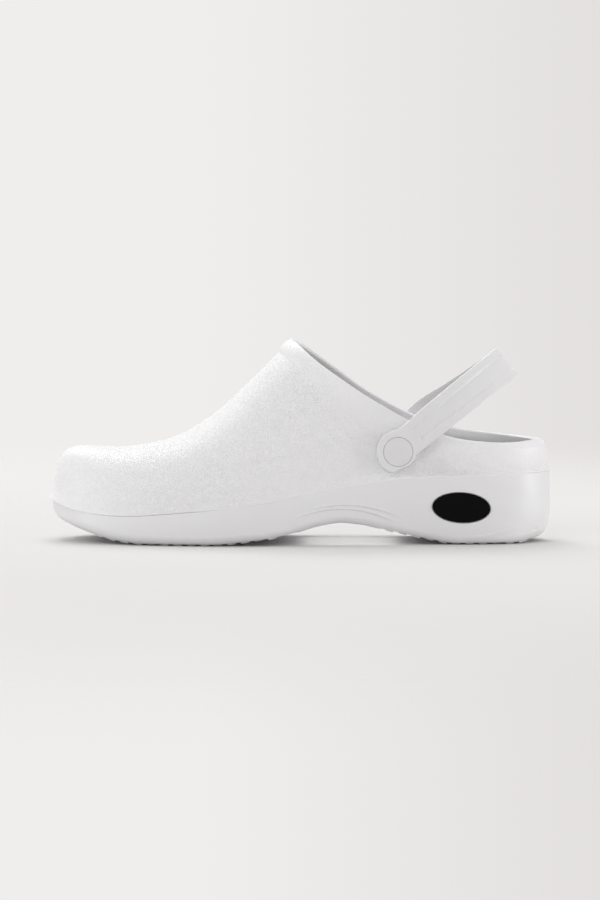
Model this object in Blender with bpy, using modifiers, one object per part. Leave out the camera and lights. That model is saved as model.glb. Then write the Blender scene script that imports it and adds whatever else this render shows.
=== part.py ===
"""White moulded foam work clog for the left foot, with a swing-back heel strap.

Toe towards -X, heel towards +X, the outer side of the foot towards -Y, +Z up, floor at z = 0.
Every section is worked out from the station table: a row for each cut across the shoe.
"""
import math
from collections import namedtuple

import bmesh
import bpy
import numpy as np

MM = 0.001

# Driving sizes of the shoe
LENGTH = 288 * MM
HALF = LENGTH / 2
LIP = 2.0 * MM             # how far the upper's wall stands inside the sole's widest line
FLARE = 1.8 * MM           # how far the wall's foot flares out again to meet the sole
FLARE_HEIGHT = 6.0 * MM
WALL = 3.0 * MM            # foam wall of the upper
GAP = 0.3 * MM             # clearance between pieces that touch
COLUMNS = 72               # cuts round the shoe
COLUMN_EVENNESS = 0.12     # draws columns from the ends towards the waist
TOE_ROUND = 5.0            # end curves of the plan outline, higher is blunter
HEEL_ROUND = 8.0
TOE_WALL = 32.0            # end curves of the upper's height, higher is steeper
HEEL_WALL = 7.0

# Sections across the shoe, all in millimetres except square, which is the exponent of the arch
Station = namedtuple("Station", "x half_width centre crown square junction bottom floor tuck")
STATIONS = [
    Station(-144, 49.0, 12.0, 55.2, 3.2, 25.5, 14.0, 20.0, 7.5),
    Station(-132, 49.5, 11.2, 54.6, 3.2, 19.6, 9.4, 16.0, 8.5),
    Station(-120, 50.5, 10.0, 53.8, 3.2, 17.2, 5.3, 13.4, 8.0),
    Station(-106, 52.0, 8.2, 52.9, 3.1, 16.4, 1.6, 11.8, 7.0),
    Station(-92, 53.3, 6.6, 53.3, 2.9, 16.8, 0.0, 11.0, 6.0),
    Station(-70, 54.0, 4.2, 57.4, 2.6, 18.7, 0.0, 11.0, 5.0),
    Station(-48, 53.8, 1.8, 71.6, 2.3, 20.7, 0.0, 11.6, 5.0),
    Station(-34, 52.8, 0.4, 84.5, 2.2, 22.0, 1.4, 12.6, 5.0),
    Station(-20, 50.5, -0.6, 98.6, 2.1, 24.2, 3.0, 14.2, 4.5),
    Station(-6, 47.5, -1.2, 113.4, 2.1, 27.7, 5.8, 16.0, 4.0),
    Station(8, 44.5, -1.4, 122.4, 2.1, 30.6, 10.4, 18.2, 4.0),
    Station(22, 42.3, -1.2, 123.0, 2.2, 32.9, 13.0, 20.2, 4.0),
    Station(36, 40.8, -0.4, 119.0, 2.3, 34.8, 11.4, 21.2, 4.0),
    Station(52, 39.6, 0.8, 113.0, 2.4, 37.3, 7.2, 21.6, 4.0),
    Station(70, 39.0, 1.4, 107.0, 2.5, 38.8, 3.2, 21.8, 4.0),
    Station(86, 38.8, 1.6, 103.0, 2.6, 38.9, 0.0, 21.8, 4.0),
    Station(105, 38.6, 1.6, 101.0, 2.6, 39.2, 0.0, 22.0, 4.0),
    Station(124, 38.2, 1.6, 100.0, 2.6, 39.6, 0.0, 22.4, 4.0),
    Station(144, 37.0, 1.6, 100.0, 2.6, 41.0, 3.5, 24.0, 4.5),
]

# Height of the collar's edge along the shoe, from the instep peak to the back of the heel. It lies
# lower on the outer side, below the ankle bone
Collar = namedtuple("Collar", "x outer inner")
COLLAR = [
    Collar(-4, 115.3, 115.3), Collar(6, 107.6, 108.6), Collar(16, 98.8, 100.6),
    Collar(36, 83.9, 86.0), Collar(55, 73.0, 75.0), Collar(73, 64.3, 66.4), Collar(84, 60.3, 62.8),
    Collar(94, 58.3, 61.2), Collar(113, 56.6, 59.2), Collar(126, 57.2, 58.7), Collar(140, 58.6, 58.6),
]

# Share along the opening's edge for each share along the outline: its columns stand upright at the
# heel and fan out in front
Ease = namedtuple("Ease", "outline edge")
EASE = [Ease(0, 0), Ease(0.35, 0.16), Ease(0.7, 0.43), Ease(0.85, 0.71), Ease(1, 1)]
EASE_STEPS = 200
EASE_BLUR = 20

# Collar band, a raised step in the wall round the topline
BAND_WIDTH = 9.0 * MM
BAND_SIDE = 0.6 * MM
BAND_FRONT = 2.0 * MM
BAND_FRONT_REACH = 25.0 * MM
BAND_MOST = 0.6            # most of the wall's height that the band may take
RIM_ROUND = 0.8 * MM

# Rolled rim behind the heel: where it sets in, how thick it grows and how far its outer edge rounds down
ROLL_FROM, ROLL_FADE = 122 * MM, 28 * MM
ROLL_THICK = 3.5 * MM
ROLL_DROP = 3.0 * MM
ROLL_CREST = 0.37          # share of the drop by which the rim's middle rises over a straight slope

# Rows up the upper: distances over its foot, shares of its body and shares of its collar band
FOOT_ROWS = [0, 2.5 * MM, 5.5 * MM]
BODY_ROWS = [0.07, 0.12, 0.16, 0.20, 0.255, 0.34, 0.46, 0.62, 0.80, 1.0]
BAND_ROWS = [0.12, 0.55, 1.0]
INNER_ROWS = [15, 12, 11, 10, 9, 8, 7, 6, 4, 2, 0]
FINE_STEPS = 240           # steps that each column's length is measured in
FINE_CROWDING = 2.6        # draws those steps towards the steep wall at the foot
EDGE_STEPS = 12            # last of those steps, which give the climb at the edge

# Sole side
BULGE = 1.0 * MM
BULGE_AT = 0.55            # share of the side's height where it is fullest
TUCK_ASPECT = 0.9
TUCK_ANGLES = [0, 35, 65]  # degrees round the turn from the underside into the side
SOLE_LIP = 0.7 * MM
RIB_PROUD = 0.7 * MM
# Edges of the rib over the arch: height there, share of the side's height elsewhere, how far it stands
Rib = namedtuple("Rib", "above share proud")
RIB = [Rib(8.6 * MM, 0.46, 0), Rib(9.3 * MM, 0.52, 1), Rib(11.3 * MM, 0.64, 1), Rib(12.0 * MM, 0.7, 0)]
UPPER_SIDE = [0.86, 0.95]
ARCH_FROM, ARCH_TO, ARCH_FADE = -8 * MM, 54 * MM, 18 * MM

# Inside of the sole: inset, and share of the depth from its rim down to its floor
Cavity = namedtuple("Cavity", "inset depth")
CAVITY = [
    Cavity(2.4 * MM, 0), Cavity(6.0 * MM, 0), Cavity(7.0 * MM, 0.35), Cavity(7.8 * MM, 0.9),
    Cavity(9.6 * MM, 1), Cavity(20 * MM, 1), Cavity(33 * MM, 1),
]

# Tread
UNDERSIDE_INSETS = [34 * MM, 13 * MM]
TREAD_DEPTH = 1.8 * MM
TREAD_FADE = 10 * MM
TREAD_ZONES = [(-126 * MM, -4 * MM), (48 * MM, 140 * MM)]
LUG_PITCH = 7.7 * MM
LUG_LENGTH = 5.2 * MM
LUG_ROOT = 1.2 * MM
LUG_INSET = 0.9 * MM
WELD = 0.03 * MM           # closes the slivers where the lugs meet the underside

# Insole
INSOLE_THICK = 3.5 * MM
INSOLE_COLUMNS = 56
# Its section from the middle of the underside round to the middle of the top
Pad = namedtuple("Pad", "inset thickness_share")
INSOLE_SECTION = [
    Pad(33 * MM, 0), Pad(22 * MM, 0), Pad(10.2 * MM, 0), Pad(9.5 * MM, 0.6), Pad(10.2 * MM, 1),
    Pad(22 * MM, 1), Pad(33 * MM, 1),
]

# Heel strap and its rivets
RIVET_X, RIVET_Z = 55.7 * MM, 53.4 * MM
SEAT_FLAT, SEAT_FADE = 14.5 * MM, 7.0 * MM
SEAT_PROUD = 1.3 * MM
STRAP_TILT = math.radians(38.4)
STRAP_REACH = 81.2 * MM
STRAP_STRAIGHT = 25.0 * MM
STRAP_THICK = 4.2 * MM
STRAP_HALF_WIDTH, STRAP_BACK_HALF_WIDTH = 9.5 * MM, 10.0 * MM
STRAP_LIFT = 1.9 * MM      # how far the band's middle lies above the line through the rivets
STRAP_SKEW = 3.5 * MM      # how much lower the soft strap hangs on the inner side
NECK_DIP, NECK_AT, NECK_REACH = 1.0 * MM, 12.0 * MM, 8.0 * MM   # waist of the upper edge by the boss
STRAP_EDGE = 0.7 * MM
STRAP_BORDER = 4.4 * MM
STRAP_RECESS = 0.7 * MM
BOSS_RADIUS = 12.25 * MM
BOSS_UNDER, BOSS_SLOPE = 10.0 * MM, 0.25   # reach of the boss below its rivet, less towards its end
BOSS_CUTS = [10, 25, 40, 55, 70, 85]       # degrees round the boss
NECK_CUTS = [3.5, 6.5, 8.7, 10.5, 12.5, 14.0, 20.0]   # millimetres past the rivet
BEND_CUTS = 21
RIVET_HEAD_RADIUS, RIVET_HEAD_THICK = 8.5 * MM, 1.8 * MM
RIVET_SHAFT_RADIUS = 3.4 * MM
RIVET_FLANGE_RADIUS, RIVET_FLANGE_THICK = 6.5 * MM, 1.6 * MM
RIVET_BEVEL = 0.4 * MM
RIVET_DOME, RIVET_DOME_EDGE, RIVET_DOME_BORDER = 0.3 * MM, 0.2 * MM, 1.5 * MM
BORE_OVERRUN = 3.0 * MM    # how far a bore's cutter runs past the strap
HOLE_OVERRUN = 12.0 * MM   # and a hole's cutter past the wall
TURNED_STEPS = 26

# Oval badge on the outer side of the heel
BADGE_X, BADGE_Z = 92.3 * MM, 21.7 * MM
BADGE_RADII = (16.8 * MM, 8.45 * MM)
BADGE_TILT = math.radians(-3.3)
BADGE_PROUD, BADGE_DEPTH = 0.5 * MM, 1.2 * MM
BADGE_SEAT_OVERRUN = 2.0 * MM
BADGE_STEPS = 36
# Rings of the oval plate: share of its radii, on its face or on its back
Plate = namedtuple("Plate", "share on_face")
BADGE_RINGS = [Plate(0.35, True), Plate(0.75, True), Plate(1, True), Plate(1, False), Plate(0.6, False)]

WHITE_FOAM = (0.86, 0.86, 0.87, 1)
WHITE_STRAP = (0.88, 0.88, 0.89, 1)
WHITE_RIVET = (0.9, 0.9, 0.91, 1)
GREY_FOOTBED = (0.7, 0.7, 0.71, 1)
BLACK_GLOSS = (0.012, 0.012, 0.013, 1)


def clear_scene():
    for item in list(bpy.data.objects):
        bpy.data.objects.remove(item, do_unlink=True)


def collection(name):
    group = bpy.data.collections.new(name)
    bpy.context.scene.collection.children.link(group)
    return group


def material(name, colour, roughness):
    finish = bpy.data.materials.new(name)
    finish.use_nodes = True
    shader = finish.node_tree.nodes["Principled BSDF"]
    shader.inputs["Base Color"].default_value = colour
    shader.inputs["Roughness"].default_value = roughness
    shader.inputs["Metallic"].default_value = 0.0
    return finish


# Smooth columns of the station table

GRID = np.arange(-180, 180.5, 0.5)


def fair_line(xs, values, blur):
    """The table's straight runs rounded off by a moving bell of the given width in millimetres."""
    reach = np.arange(-3 * blur, 3 * blur + 0.5, 0.5)
    bell = np.exp(-0.5 * (reach / blur) ** 2)
    line = np.interp(np.concatenate([GRID[0] + reach[:len(reach) // 2], GRID,
                                     GRID[-1] + reach[len(reach) // 2 + 1:]]), xs, values)
    faired = np.convolve(line, bell / bell.sum(), mode="valid")

    def height(x):
        return np.interp(np.asarray(x) / MM, GRID, faired) * MM
    return height


def column(name, blur=6.0):
    return fair_line([row.x for row in STATIONS], [getattr(row, name) for row in STATIONS], blur)


full_half_width = column("half_width", 8.0)
table_centre = column("centre", 8.0)
crown = column("crown", 5.0)
square = column("square", 8.0)
junction = column("junction", 5.0)
bottom = column("bottom", 2.5)
floor = column("floor", 5.0)
tuck = column("tuck", 6.0)
outer_topline = fair_line([row.x for row in COLLAR], [row.outer for row in COLLAR], 4.0)
inner_topline = fair_line([row.x for row in COLLAR], [row.inner for row in COLLAR], 4.0)


def end_curve(share, toe_power, heel_power):
    """How far the form still stands at a share of the half length: 1 in the middle, 0 at the ends."""
    power = np.where(share < 0, toe_power, heel_power)
    return np.sqrt(np.clip(1 - np.abs(share) ** power, 0, 1))


def half_width(x, inset):
    share = np.clip(x / (HALF - inset), -1, 1)
    return (full_half_width(x) - inset) * end_curve(share, TOE_ROUND, HEEL_ROUND)


def plan_middle():
    """Middle of the sole's width, which the part's frame is centred on."""
    x = np.linspace(-HALF, HALF, 600)
    outer = np.min(table_centre(x) - half_width(x, 0))
    inner = np.max(table_centre(x) + half_width(x, 0))
    return (outer + inner) / 2


PLAN_MIDDLE = plan_middle()


def centre(x):
    return table_centre(x) - PLAN_MIDDLE


def turn(count=COLUMNS):
    """Angles round the shoe: from the toe along the outer side to the heel and back inside."""
    even = np.arange(count) * 2 * np.pi / count
    return even + COLUMN_EVENNESS * np.sin(2 * even)


def outline(inset, count=COLUMNS):
    """Plan ring of the sole at an inset from its widest line, as x and y."""
    angle = turn(count)
    x = -(HALF - inset) * np.cos(angle)
    side = -np.sign(np.round(np.sin(angle), 9))
    return x, centre(x) + side * half_width(x, inset)


def ring(inset, height, count=COLUMNS):
    """Plan ring lifted to a height, which is a function of x or one value for each column."""
    x, y = outline(inset, count)
    z = height(x) if callable(height) else np.broadcast_to(height, x.shape)
    return np.stack([x, y, z], axis=1)


def window(x, start, end, fade):
    """1 between start and end, fading smoothly to 0 outside."""
    rise = np.clip((x - start) / fade + 0.5, 0, 1)
    fall = np.clip((end - x) / fade + 0.5, 0, 1)
    both = np.minimum(rise, fall)
    return both * both * (3 - 2 * both)


# Mesh makers

def add_object(name, mesh, group, finish=None):
    item = bpy.data.objects.new(name, mesh)
    group.objects.link(item)
    if finish:
        mesh.materials.append(finish)
        mesh.shade_smooth()
        mesh.set_sharp_from_angle(angle=math.radians(40))
    return item


def loft(name, rings, group, finish=None, wrap=False, zipped=True):
    """A closed skin through rings of equal count.

    With wrap the last ring joins the first. Otherwise both ends are closed: zipped across the
    shoe, between the columns that share an x, or by one flat face each.
    """
    mesh = bpy.data.meshes.new(name)
    skin = bmesh.new()
    rows = [[skin.verts.new(point) for point in points] for points in rings]
    count = len(rows[0])
    pairs = list(zip(rows, rows[1:] + rows[:1])) if wrap else list(zip(rows, rows[1:]))
    for lower, upper in pairs:
        for j in range(count):
            k = (j + 1) % count
            skin.faces.new((lower[j], lower[k], upper[k], upper[j]))
    if not wrap:
        for row in (rows[0], rows[-1]):
            if zipped:
                zip_across(skin, row)
            else:
                skin.faces.new(row)
    bmesh.ops.recalc_face_normals(skin, faces=skin.faces)
    skin.to_mesh(mesh)
    skin.free()
    return add_object(name, mesh, group, finish)


def zip_across(skin, row):
    count = len(row)
    for j in range(count // 2):
        corners = [row[j], row[j + 1], row[(count - j - 1) % count], row[(count - j) % count]]
        skin.faces.new(list(dict.fromkeys(corners)))


def cut(item, cutter, operation="DIFFERENCE"):
    change = item.modifiers.new(cutter.name, "BOOLEAN")
    change.operation = operation
    change.solver = "EXACT"
    change.object = cutter
    cutter.hide_render = True
    cutter.display_type = "WIRE"


def turned(name, profile, place, group, finish=None):
    """A solid turned about the Y axis through place. The profile is radius and y, outside first."""
    mesh = bpy.data.meshes.new(name)
    points = [(radius, 0, height) for radius, height in profile]
    mesh.from_pydata(points, [(i, i + 1) for i in range(len(points) - 1)], [])
    item = add_object(name, mesh, group, finish)
    spin = item.modifiers.new("turn", "SCREW")
    spin.steps = TURNED_STEPS
    spin.render_steps = TURNED_STEPS
    spin.use_merge_vertices = True
    spin.merge_threshold = 0.00001
    item.location = place
    return item


# Upper

def crown_line(x):
    """Ridge of the upper over the toe and instep, carried on over the opening as a guide."""
    share = np.clip(x / (HALF - LIP), -1, 1)
    return junction(x) + (crown(x) - junction(x)) * end_curve(share, TOE_WALL, HEEL_WALL)


def upper_height(x, y):
    """Height of the upper's outer face over a plan point."""
    across = np.clip(np.abs(y - centre(x)) / np.maximum(half_width(x, LIP), 1e-9), 0, 1)
    bow = square(x) / MM
    arch = (1 - across ** bow) ** (1 / bow)
    return junction(x) + GAP + (crown_line(x) - junction(x)) * arch


def collar_loop(count):
    """Edge of the opening on the upper's face, in the same columns as the outline."""
    xs = np.linspace(0, HALF - LIP, 4000)
    front = COLLAR[0].x * MM
    back = xs[crown_line(xs) >= inner_topline(xs)].max()
    angle = turn(count)
    along = (1 - np.cos(angle)) / 2
    eased = np.interp(along, *COLLAR_EASE)
    x = front + (back - front) * eased
    side = -np.sign(np.round(np.sin(angle), 9))
    topline = np.where(side < 0, outer_topline(x), inner_topline(x))
    share = np.clip((topline - junction(x)) / (crown_line(x) - junction(x)), 0, 1)
    bow = square(x) / MM
    across = (1 - share ** bow) ** (1 / bow)
    y = centre(x) + side * across * half_width(x, LIP)
    return x, y


def ease_table():
    """The table of shares along the opening's edge, with its corners rounded off."""
    share = np.linspace(0, 1, EASE_STEPS + 1)
    straight = np.interp(share, [row.outline for row in EASE], [row.edge for row in EASE])
    bell = np.hanning(2 * EASE_BLUR + 1)
    before = -straight[EASE_BLUR:0:-1]
    after = 2 - straight[-2:-2 - EASE_BLUR:-1]
    padded = np.concatenate([before, straight, after])
    return share, np.convolve(padded, bell / bell.sum(), mode="valid")


COLLAR_EASE = ease_table()


def upper_face(count):
    """The upper's face as a grid, with each point's distance over its foot.

    Rows run from the sole to the collar, and columns round the shoe.
    """
    foot_x, foot_y = outline(LIP, count)
    edge_x, edge_y = collar_loop(count)
    inward = (np.linspace(0, 1, FINE_STEPS) ** FINE_CROWDING)[:, None]
    x = foot_x + (edge_x - foot_x) * inward
    y = foot_y + (edge_y - foot_y) * inward
    fine = np.stack([x, y, upper_height(x, y)], axis=2)
    steps = np.linalg.norm(np.diff(fine, axis=0), axis=2)
    travel = np.concatenate([np.zeros((1, count)), np.cumsum(steps, axis=0)])
    length = travel[-1]
    edge = fine[-1]
    along_edge = np.roll(edge, -1, axis=0) - np.roll(edge, 1, axis=0)
    along_edge /= np.linalg.norm(along_edge, axis=1)[:, None]
    climb = fine[-1] - fine[-EDGE_STEPS]
    climb /= np.linalg.norm(climb, axis=1)[:, None]
    slant = np.linalg.norm(np.cross(along_edge, climb), axis=1)
    band = np.minimum(BAND_WIDTH / np.maximum(slant, 0.5), BAND_MOST * length)
    rows = [np.full(count, above) for above in FOOT_ROWS]
    for share in BODY_ROWS:
        rows.append(FOOT_ROWS[-1] + share * (length - band - FOOT_ROWS[-1]))
    for share in BAND_ROWS:
        rows.append(length - band + share * band)
    above = np.array(rows)
    grid = np.empty((len(rows), count, 3))
    for j in range(count):
        for axis in range(3):
            grid[:, j, axis] = np.interp(above[:, j], travel[:, j], fine[:, j, axis])
    return grid, above


def outward(grid):
    """Unit normals of the upper's face, pointing away from the foot."""
    up = np.gradient(grid, axis=0)
    round_shoe = np.roll(grid, -1, axis=1) - np.roll(grid, 1, axis=1)
    normal = np.cross(round_shoe, up)
    normal /= np.linalg.norm(normal, axis=2)[:, :, None]
    return normal


def seat_plane(side):
    """Y of the flat that the strap's boss lies on. Side is -1 outside and 1 inside."""
    return float(centre(RIVET_X) + side * (half_width(RIVET_X, LIP) + SEAT_PROUD))


def flatten_seats(points, depth):
    """Pull the wall round each rivet to its flat seat, at a depth inside the seat's plane."""
    away = np.hypot(points[..., 0] - RIVET_X, points[..., 2] - RIVET_Z)
    share = np.clip((SEAT_FLAT + SEAT_FADE - away) / SEAT_FADE, 0, 1)
    pull = share * share * (3 - 2 * share)
    for side in (-1, 1):
        here = pull * (np.sign(points[..., 1] - centre(points[..., 0])) == side)
        target = seat_plane(side) - side * depth
        points[..., 1] += (target - points[..., 1]) * here
    return points


def make_upper(group, cutters, finish):
    face, above = upper_face(COLUMNS)
    normal = outward(face)
    front = np.exp(-((face[-1, :, 0] - COLLAR[0].x * MM) / BAND_FRONT_REACH) ** 2)
    proud = BAND_SIDE + (BAND_FRONT - BAND_SIDE) * front
    outer = face.copy()
    outer[-len(BAND_ROWS):] += normal[-len(BAND_ROWS):] * proud[None, :, None]
    flare = FLARE * np.clip(1 - above / FLARE_HEIGHT, 0, 1) ** 2
    outer[..., :2] += unit(normal[..., :2]) * flare[..., None]
    outer[0, :, 2] = junction(outer[0, :, 0]) + GAP
    inner = face - normal * WALL
    inner[0, :, 2] = junction(inner[0, :, 0]) + GAP
    outer = flatten_seats(outer, 0)
    inner = flatten_seats(inner, WALL)
    climb = unit(face[-1] - face[-2])
    roll = window(face[-1, :, 0], ROLL_FROM, LENGTH, ROLL_FADE)[:, None]
    outer[-1] -= climb * ROLL_DROP * roll
    inner[-1] -= normal[-1] * ROLL_THICK * roll
    rim = (outer[-1] + inner[-1]) / 2 + climb * (RIM_ROUND + ROLL_CREST * ROLL_DROP * roll)
    rings = [*outer, rim, *[inner[i] for i in INNER_ROWS]]
    upper = loft("upper", rings, group, finish, wrap=True)
    for side in (-1, 1):
        hole = rivet_cylinder(f"rivet_hole_{side}", RIVET_SHAFT_RADIUS + GAP, side, cutters)
        cut(upper, hole)
    return upper


def unit(vectors):
    return vectors / np.linalg.norm(vectors, axis=-1)[..., None]


def rivet_cylinder(name, radius, side, cutters):
    past = HOLE_OVERRUN
    profile = [(0, past), (radius, past), (radius, -past), (0, -past)]
    hole = turned(name, profile, (RIVET_X, seat_plane(side), RIVET_Z), cutters)
    hole.rotation_euler = (-side * math.pi / 2, 0, 0)
    return hole


# Sole

def base_height(x):
    """Underside between the lugs."""
    zones = sum(window(x, start, end, TREAD_FADE) for start, end in TREAD_ZONES)
    return bottom(x) + TREAD_DEPTH * zones


def side_inset(share):
    """Inset of the sole's side at a share of its height: fullest a little over the middle."""
    return BULGE * ((share - BULGE_AT) / BULGE_AT) ** 2


def sole_side(count):
    """Rings up the sole's side, from the edge of the underside to the lip under the upper."""
    x_full, _ = outline(0, count)
    under = tuck(x_full)
    edge_x, _ = outline(under, count)
    low = base_height(edge_x)
    high = junction(x_full)
    arch = window(x_full, ARCH_FROM, ARCH_TO, ARCH_FADE)
    rings = []
    for angle in np.radians(TUCK_ANGLES):
        inset = under * (1 - math.sin(angle)) + side_inset(0.2) * math.sin(angle)
        rings.append(ring(inset, low + TUCK_ASPECT * under * (1 - math.cos(angle)), count))
    for above, share, proud in RIB:
        height = low + arch * above + (1 - arch) * share * (high - low)
        inset = side_inset((height - low) / (high - low)) - proud * arch * RIB_PROUD
        rings.append(ring(inset, height, count))
    for share in UPPER_SIDE:
        rings.append(ring(side_inset(share), low + share * (high - low), count))
    rings.append(ring(SOLE_LIP, junction, count))
    return rings


def cavity_height(depth):
    """Height line inside the sole at a share of the depth from its rim to its floor."""
    return lambda x: junction(x) + depth * (floor(x) - junction(x))


def make_sole(group, cutters, finish):
    rings = [ring(inset, base_height) for inset in UNDERSIDE_INSETS]
    rings += sole_side(COLUMNS)
    rings += [ring(row.inset, cavity_height(row.depth)) for row in CAVITY]
    sole = loft("sole", rings, group, finish)
    cut(sole, make_lugs(cutters), "UNION")
    cut(sole, oval_pad("badge_seat", GAP, BADGE_SEAT_OVERRUN, BADGE_DEPTH + GAP, cutters))
    weld = sole.modifiers.new("weld", "WELD")
    weld.merge_threshold = WELD
    return sole


def make_lugs(cutters):
    """Bars across the tread, their undersides on the sole's rocker line."""
    mesh = bpy.data.meshes.new("lugs")
    skin = bmesh.new()
    for start, end in TREAD_ZONES:
        for i in range(int((end - start) / LUG_PITCH)):
            add_lug(skin, start + i * LUG_PITCH)
    bmesh.ops.recalc_face_normals(skin, faces=skin.faces)
    skin.to_mesh(mesh)
    skin.free()
    return add_object("lugs", mesh, cutters)


def add_lug(skin, front):
    """One bar as a loft from its front face to its back face."""
    faces = []
    for x in (front, front + LUG_LENGTH):
        inset = tuck(x) + LUG_INSET
        reach = half_width(x, inset)
        low = float(bottom(x))
        high = float(base_height(x)) + LUG_ROOT
        corners = [(-1, low), (1, low), (1, high), (-1, high)]
        faces.append([skin.verts.new((x, float(centre(x) + side * reach), z)) for side, z in corners])
    first, last = faces
    skin.faces.new(first)
    skin.faces.new(last)
    for j in range(4):
        k = (j + 1) % 4
        skin.faces.new((first[j], first[k], last[k], last[j]))


# Insole

def insole_height(share):
    """Height line of the insole at a share of its thickness."""
    return lambda x: floor(x) + GAP + share * INSOLE_THICK


def make_insole(group, finish):
    rings = []
    for row in INSOLE_SECTION:
        rings.append(ring(row.inset, insole_height(row.thickness_share), INSOLE_COLUMNS))
    return loft("insole", rings, group, finish)


# Heel strap and rivets

def strap_path():
    """Stations along the strap's middle: distance past the rivet, y, and the outward normal."""
    near = seat_plane(-1) - GAP - STRAP_THICK / 2
    far = seat_plane(1) + GAP + STRAP_THICK / 2
    middle, spread = (near + far) / 2, (far - near) / 2
    boss = -BOSS_RADIUS * np.cos(np.radians(BOSS_CUTS))
    neck = np.array(NECK_CUTS) * MM
    lead = np.concatenate([boss, neck])
    sweep = np.radians(np.linspace(-90, 90, BEND_CUTS))
    bend = STRAP_REACH - STRAP_THICK / 2 - STRAP_STRAIGHT
    along = np.concatenate([lead, STRAP_STRAIGHT + bend * np.cos(sweep), lead[::-1]])
    across = np.concatenate([np.full(len(lead), -spread), spread * np.sin(sweep),
                             np.full(len(lead), spread)])
    out_along = np.concatenate([0 * lead, np.cos(sweep) / bend, 0 * lead])
    out_across = np.concatenate([0 * lead - 1, np.sin(sweep) / spread, 0 * lead + 1])
    size = np.hypot(out_along, out_across)
    return along, middle + across, out_along / size, out_across / size


def strap_width(along):
    """Half width of the strap, and how far its middle lies above the line through the rivets."""
    inside = math.sqrt(max(BOSS_RADIUS ** 2 - along ** 2, 0))
    if along <= 0:
        below = min(inside, BOSS_UNDER + BOSS_SLOPE * along)
        return (inside + below) / 2, (inside - below) / 2
    under = math.sqrt(max(BOSS_UNDER ** 2 - along ** 2, 0))
    band = STRAP_HALF_WIDTH + (STRAP_BACK_HALF_WIDTH - STRAP_HALF_WIDTH) * (along / STRAP_REACH) ** 2
    dip = NECK_DIP * math.exp(-((along - NECK_AT) / NECK_REACH) ** 2)
    above = max(inside, band + STRAP_LIFT - dip)
    below = max(under, band - STRAP_LIFT)
    return (above + below) / 2, (above - below) / 2


def strap_skew(along, y):
    """How far the strap hangs below its own plane: nothing at the bosses, most far round the bend."""
    share = (y - seat_plane(-1)) / (seat_plane(1) - seat_plane(-1))
    return STRAP_SKEW * share * max(along, 0) / STRAP_REACH


def strap_section(half, recess):
    """Offsets across the strap and out of it, round the section from the inner face."""
    skin = STRAP_THICK / 2
    edge = min(STRAP_EDGE, 0.4 * half)
    border = min(STRAP_BORDER, 0.45 * half)
    low = min(STRAP_BORDER + STRAP_RECESS, 0.6 * half)
    right = [(half - edge, -skin), (half, -skin + edge), (half, skin - edge), (half - edge, skin),
             (half - border, skin), (half - low, skin - recess)]
    left = [(-across, out) for across, out in reversed(right)]
    return right + left


def make_strap(group, cutters, finish):
    rings = []
    for along, y, out_along, out_across in zip(*strap_path()):
        recess = STRAP_RECESS if along > BOSS_RADIUS else 0
        half, middle = strap_width(along)
        middle -= strap_skew(along, y)
        points = []
        for offset, out in strap_section(half, recess):
            across = middle + offset
            run = along + out * out_along
            x = RIVET_X + run * math.cos(STRAP_TILT) - across * math.sin(STRAP_TILT)
            z = RIVET_Z + run * math.sin(STRAP_TILT) + across * math.cos(STRAP_TILT)
            points.append((x, y + out * out_across, z))
        rings.append(points)
    strap = loft("heel_strap", rings, group, finish, zipped=False)
    for side in (-1, 1):
        cut(strap, strap_bore(f"strap_bore_{side}", side, cutters))
    return strap


def strap_bore(name, side, cutters):
    """Hole for the rivet's shaft and counterbore for its head, turned in one."""
    face = GAP + STRAP_THICK
    head = RIVET_HEAD_RADIUS + GAP
    shaft = RIVET_SHAFT_RADIUS + GAP
    ledge = face - RIVET_HEAD_THICK - GAP
    above, below = face + BORE_OVERRUN, -BORE_OVERRUN
    profile = [(0, above), (head, above), (head, ledge), (shaft, ledge), (shaft, below), (0, below)]
    bore = turned(name, profile, (RIVET_X, seat_plane(side), RIVET_Z), cutters)
    bore.rotation_euler = (-side * math.pi / 2, 0, 0)
    return bore


def make_rivet(name, side, group, finish):
    """Snap rivet: a flush head in the boss, a shaft through the wall and a flange inside."""
    face = GAP + STRAP_THICK
    ledge = face - RIVET_HEAD_THICK
    inside = -WALL - GAP
    end = inside - RIVET_FLANGE_THICK
    profile = [
        (0, face + RIVET_DOME), (RIVET_HEAD_RADIUS - RIVET_DOME_BORDER, face + RIVET_DOME_EDGE),
        (RIVET_HEAD_RADIUS - RIVET_BEVEL, face), (RIVET_HEAD_RADIUS, face - RIVET_BEVEL),
        (RIVET_HEAD_RADIUS, ledge), (RIVET_SHAFT_RADIUS, ledge), (RIVET_SHAFT_RADIUS, inside),
        (RIVET_FLANGE_RADIUS, inside), (RIVET_FLANGE_RADIUS, end + RIVET_BEVEL),
        (RIVET_FLANGE_RADIUS - RIVET_BEVEL, end), (0, end),
    ]
    rivet = turned(name, profile, (RIVET_X, seat_plane(side), RIVET_Z), group, finish)
    rivet.rotation_euler = (-side * math.pi / 2, 0, 0)
    return rivet


# Badge

def sole_side_y(x, z):
    """Y of the sole's outer side at a point of the side view."""
    low = base_height(x)
    share = (z - low) / (junction(x) - low)
    return centre(x) - half_width(x, side_inset(share))


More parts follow.
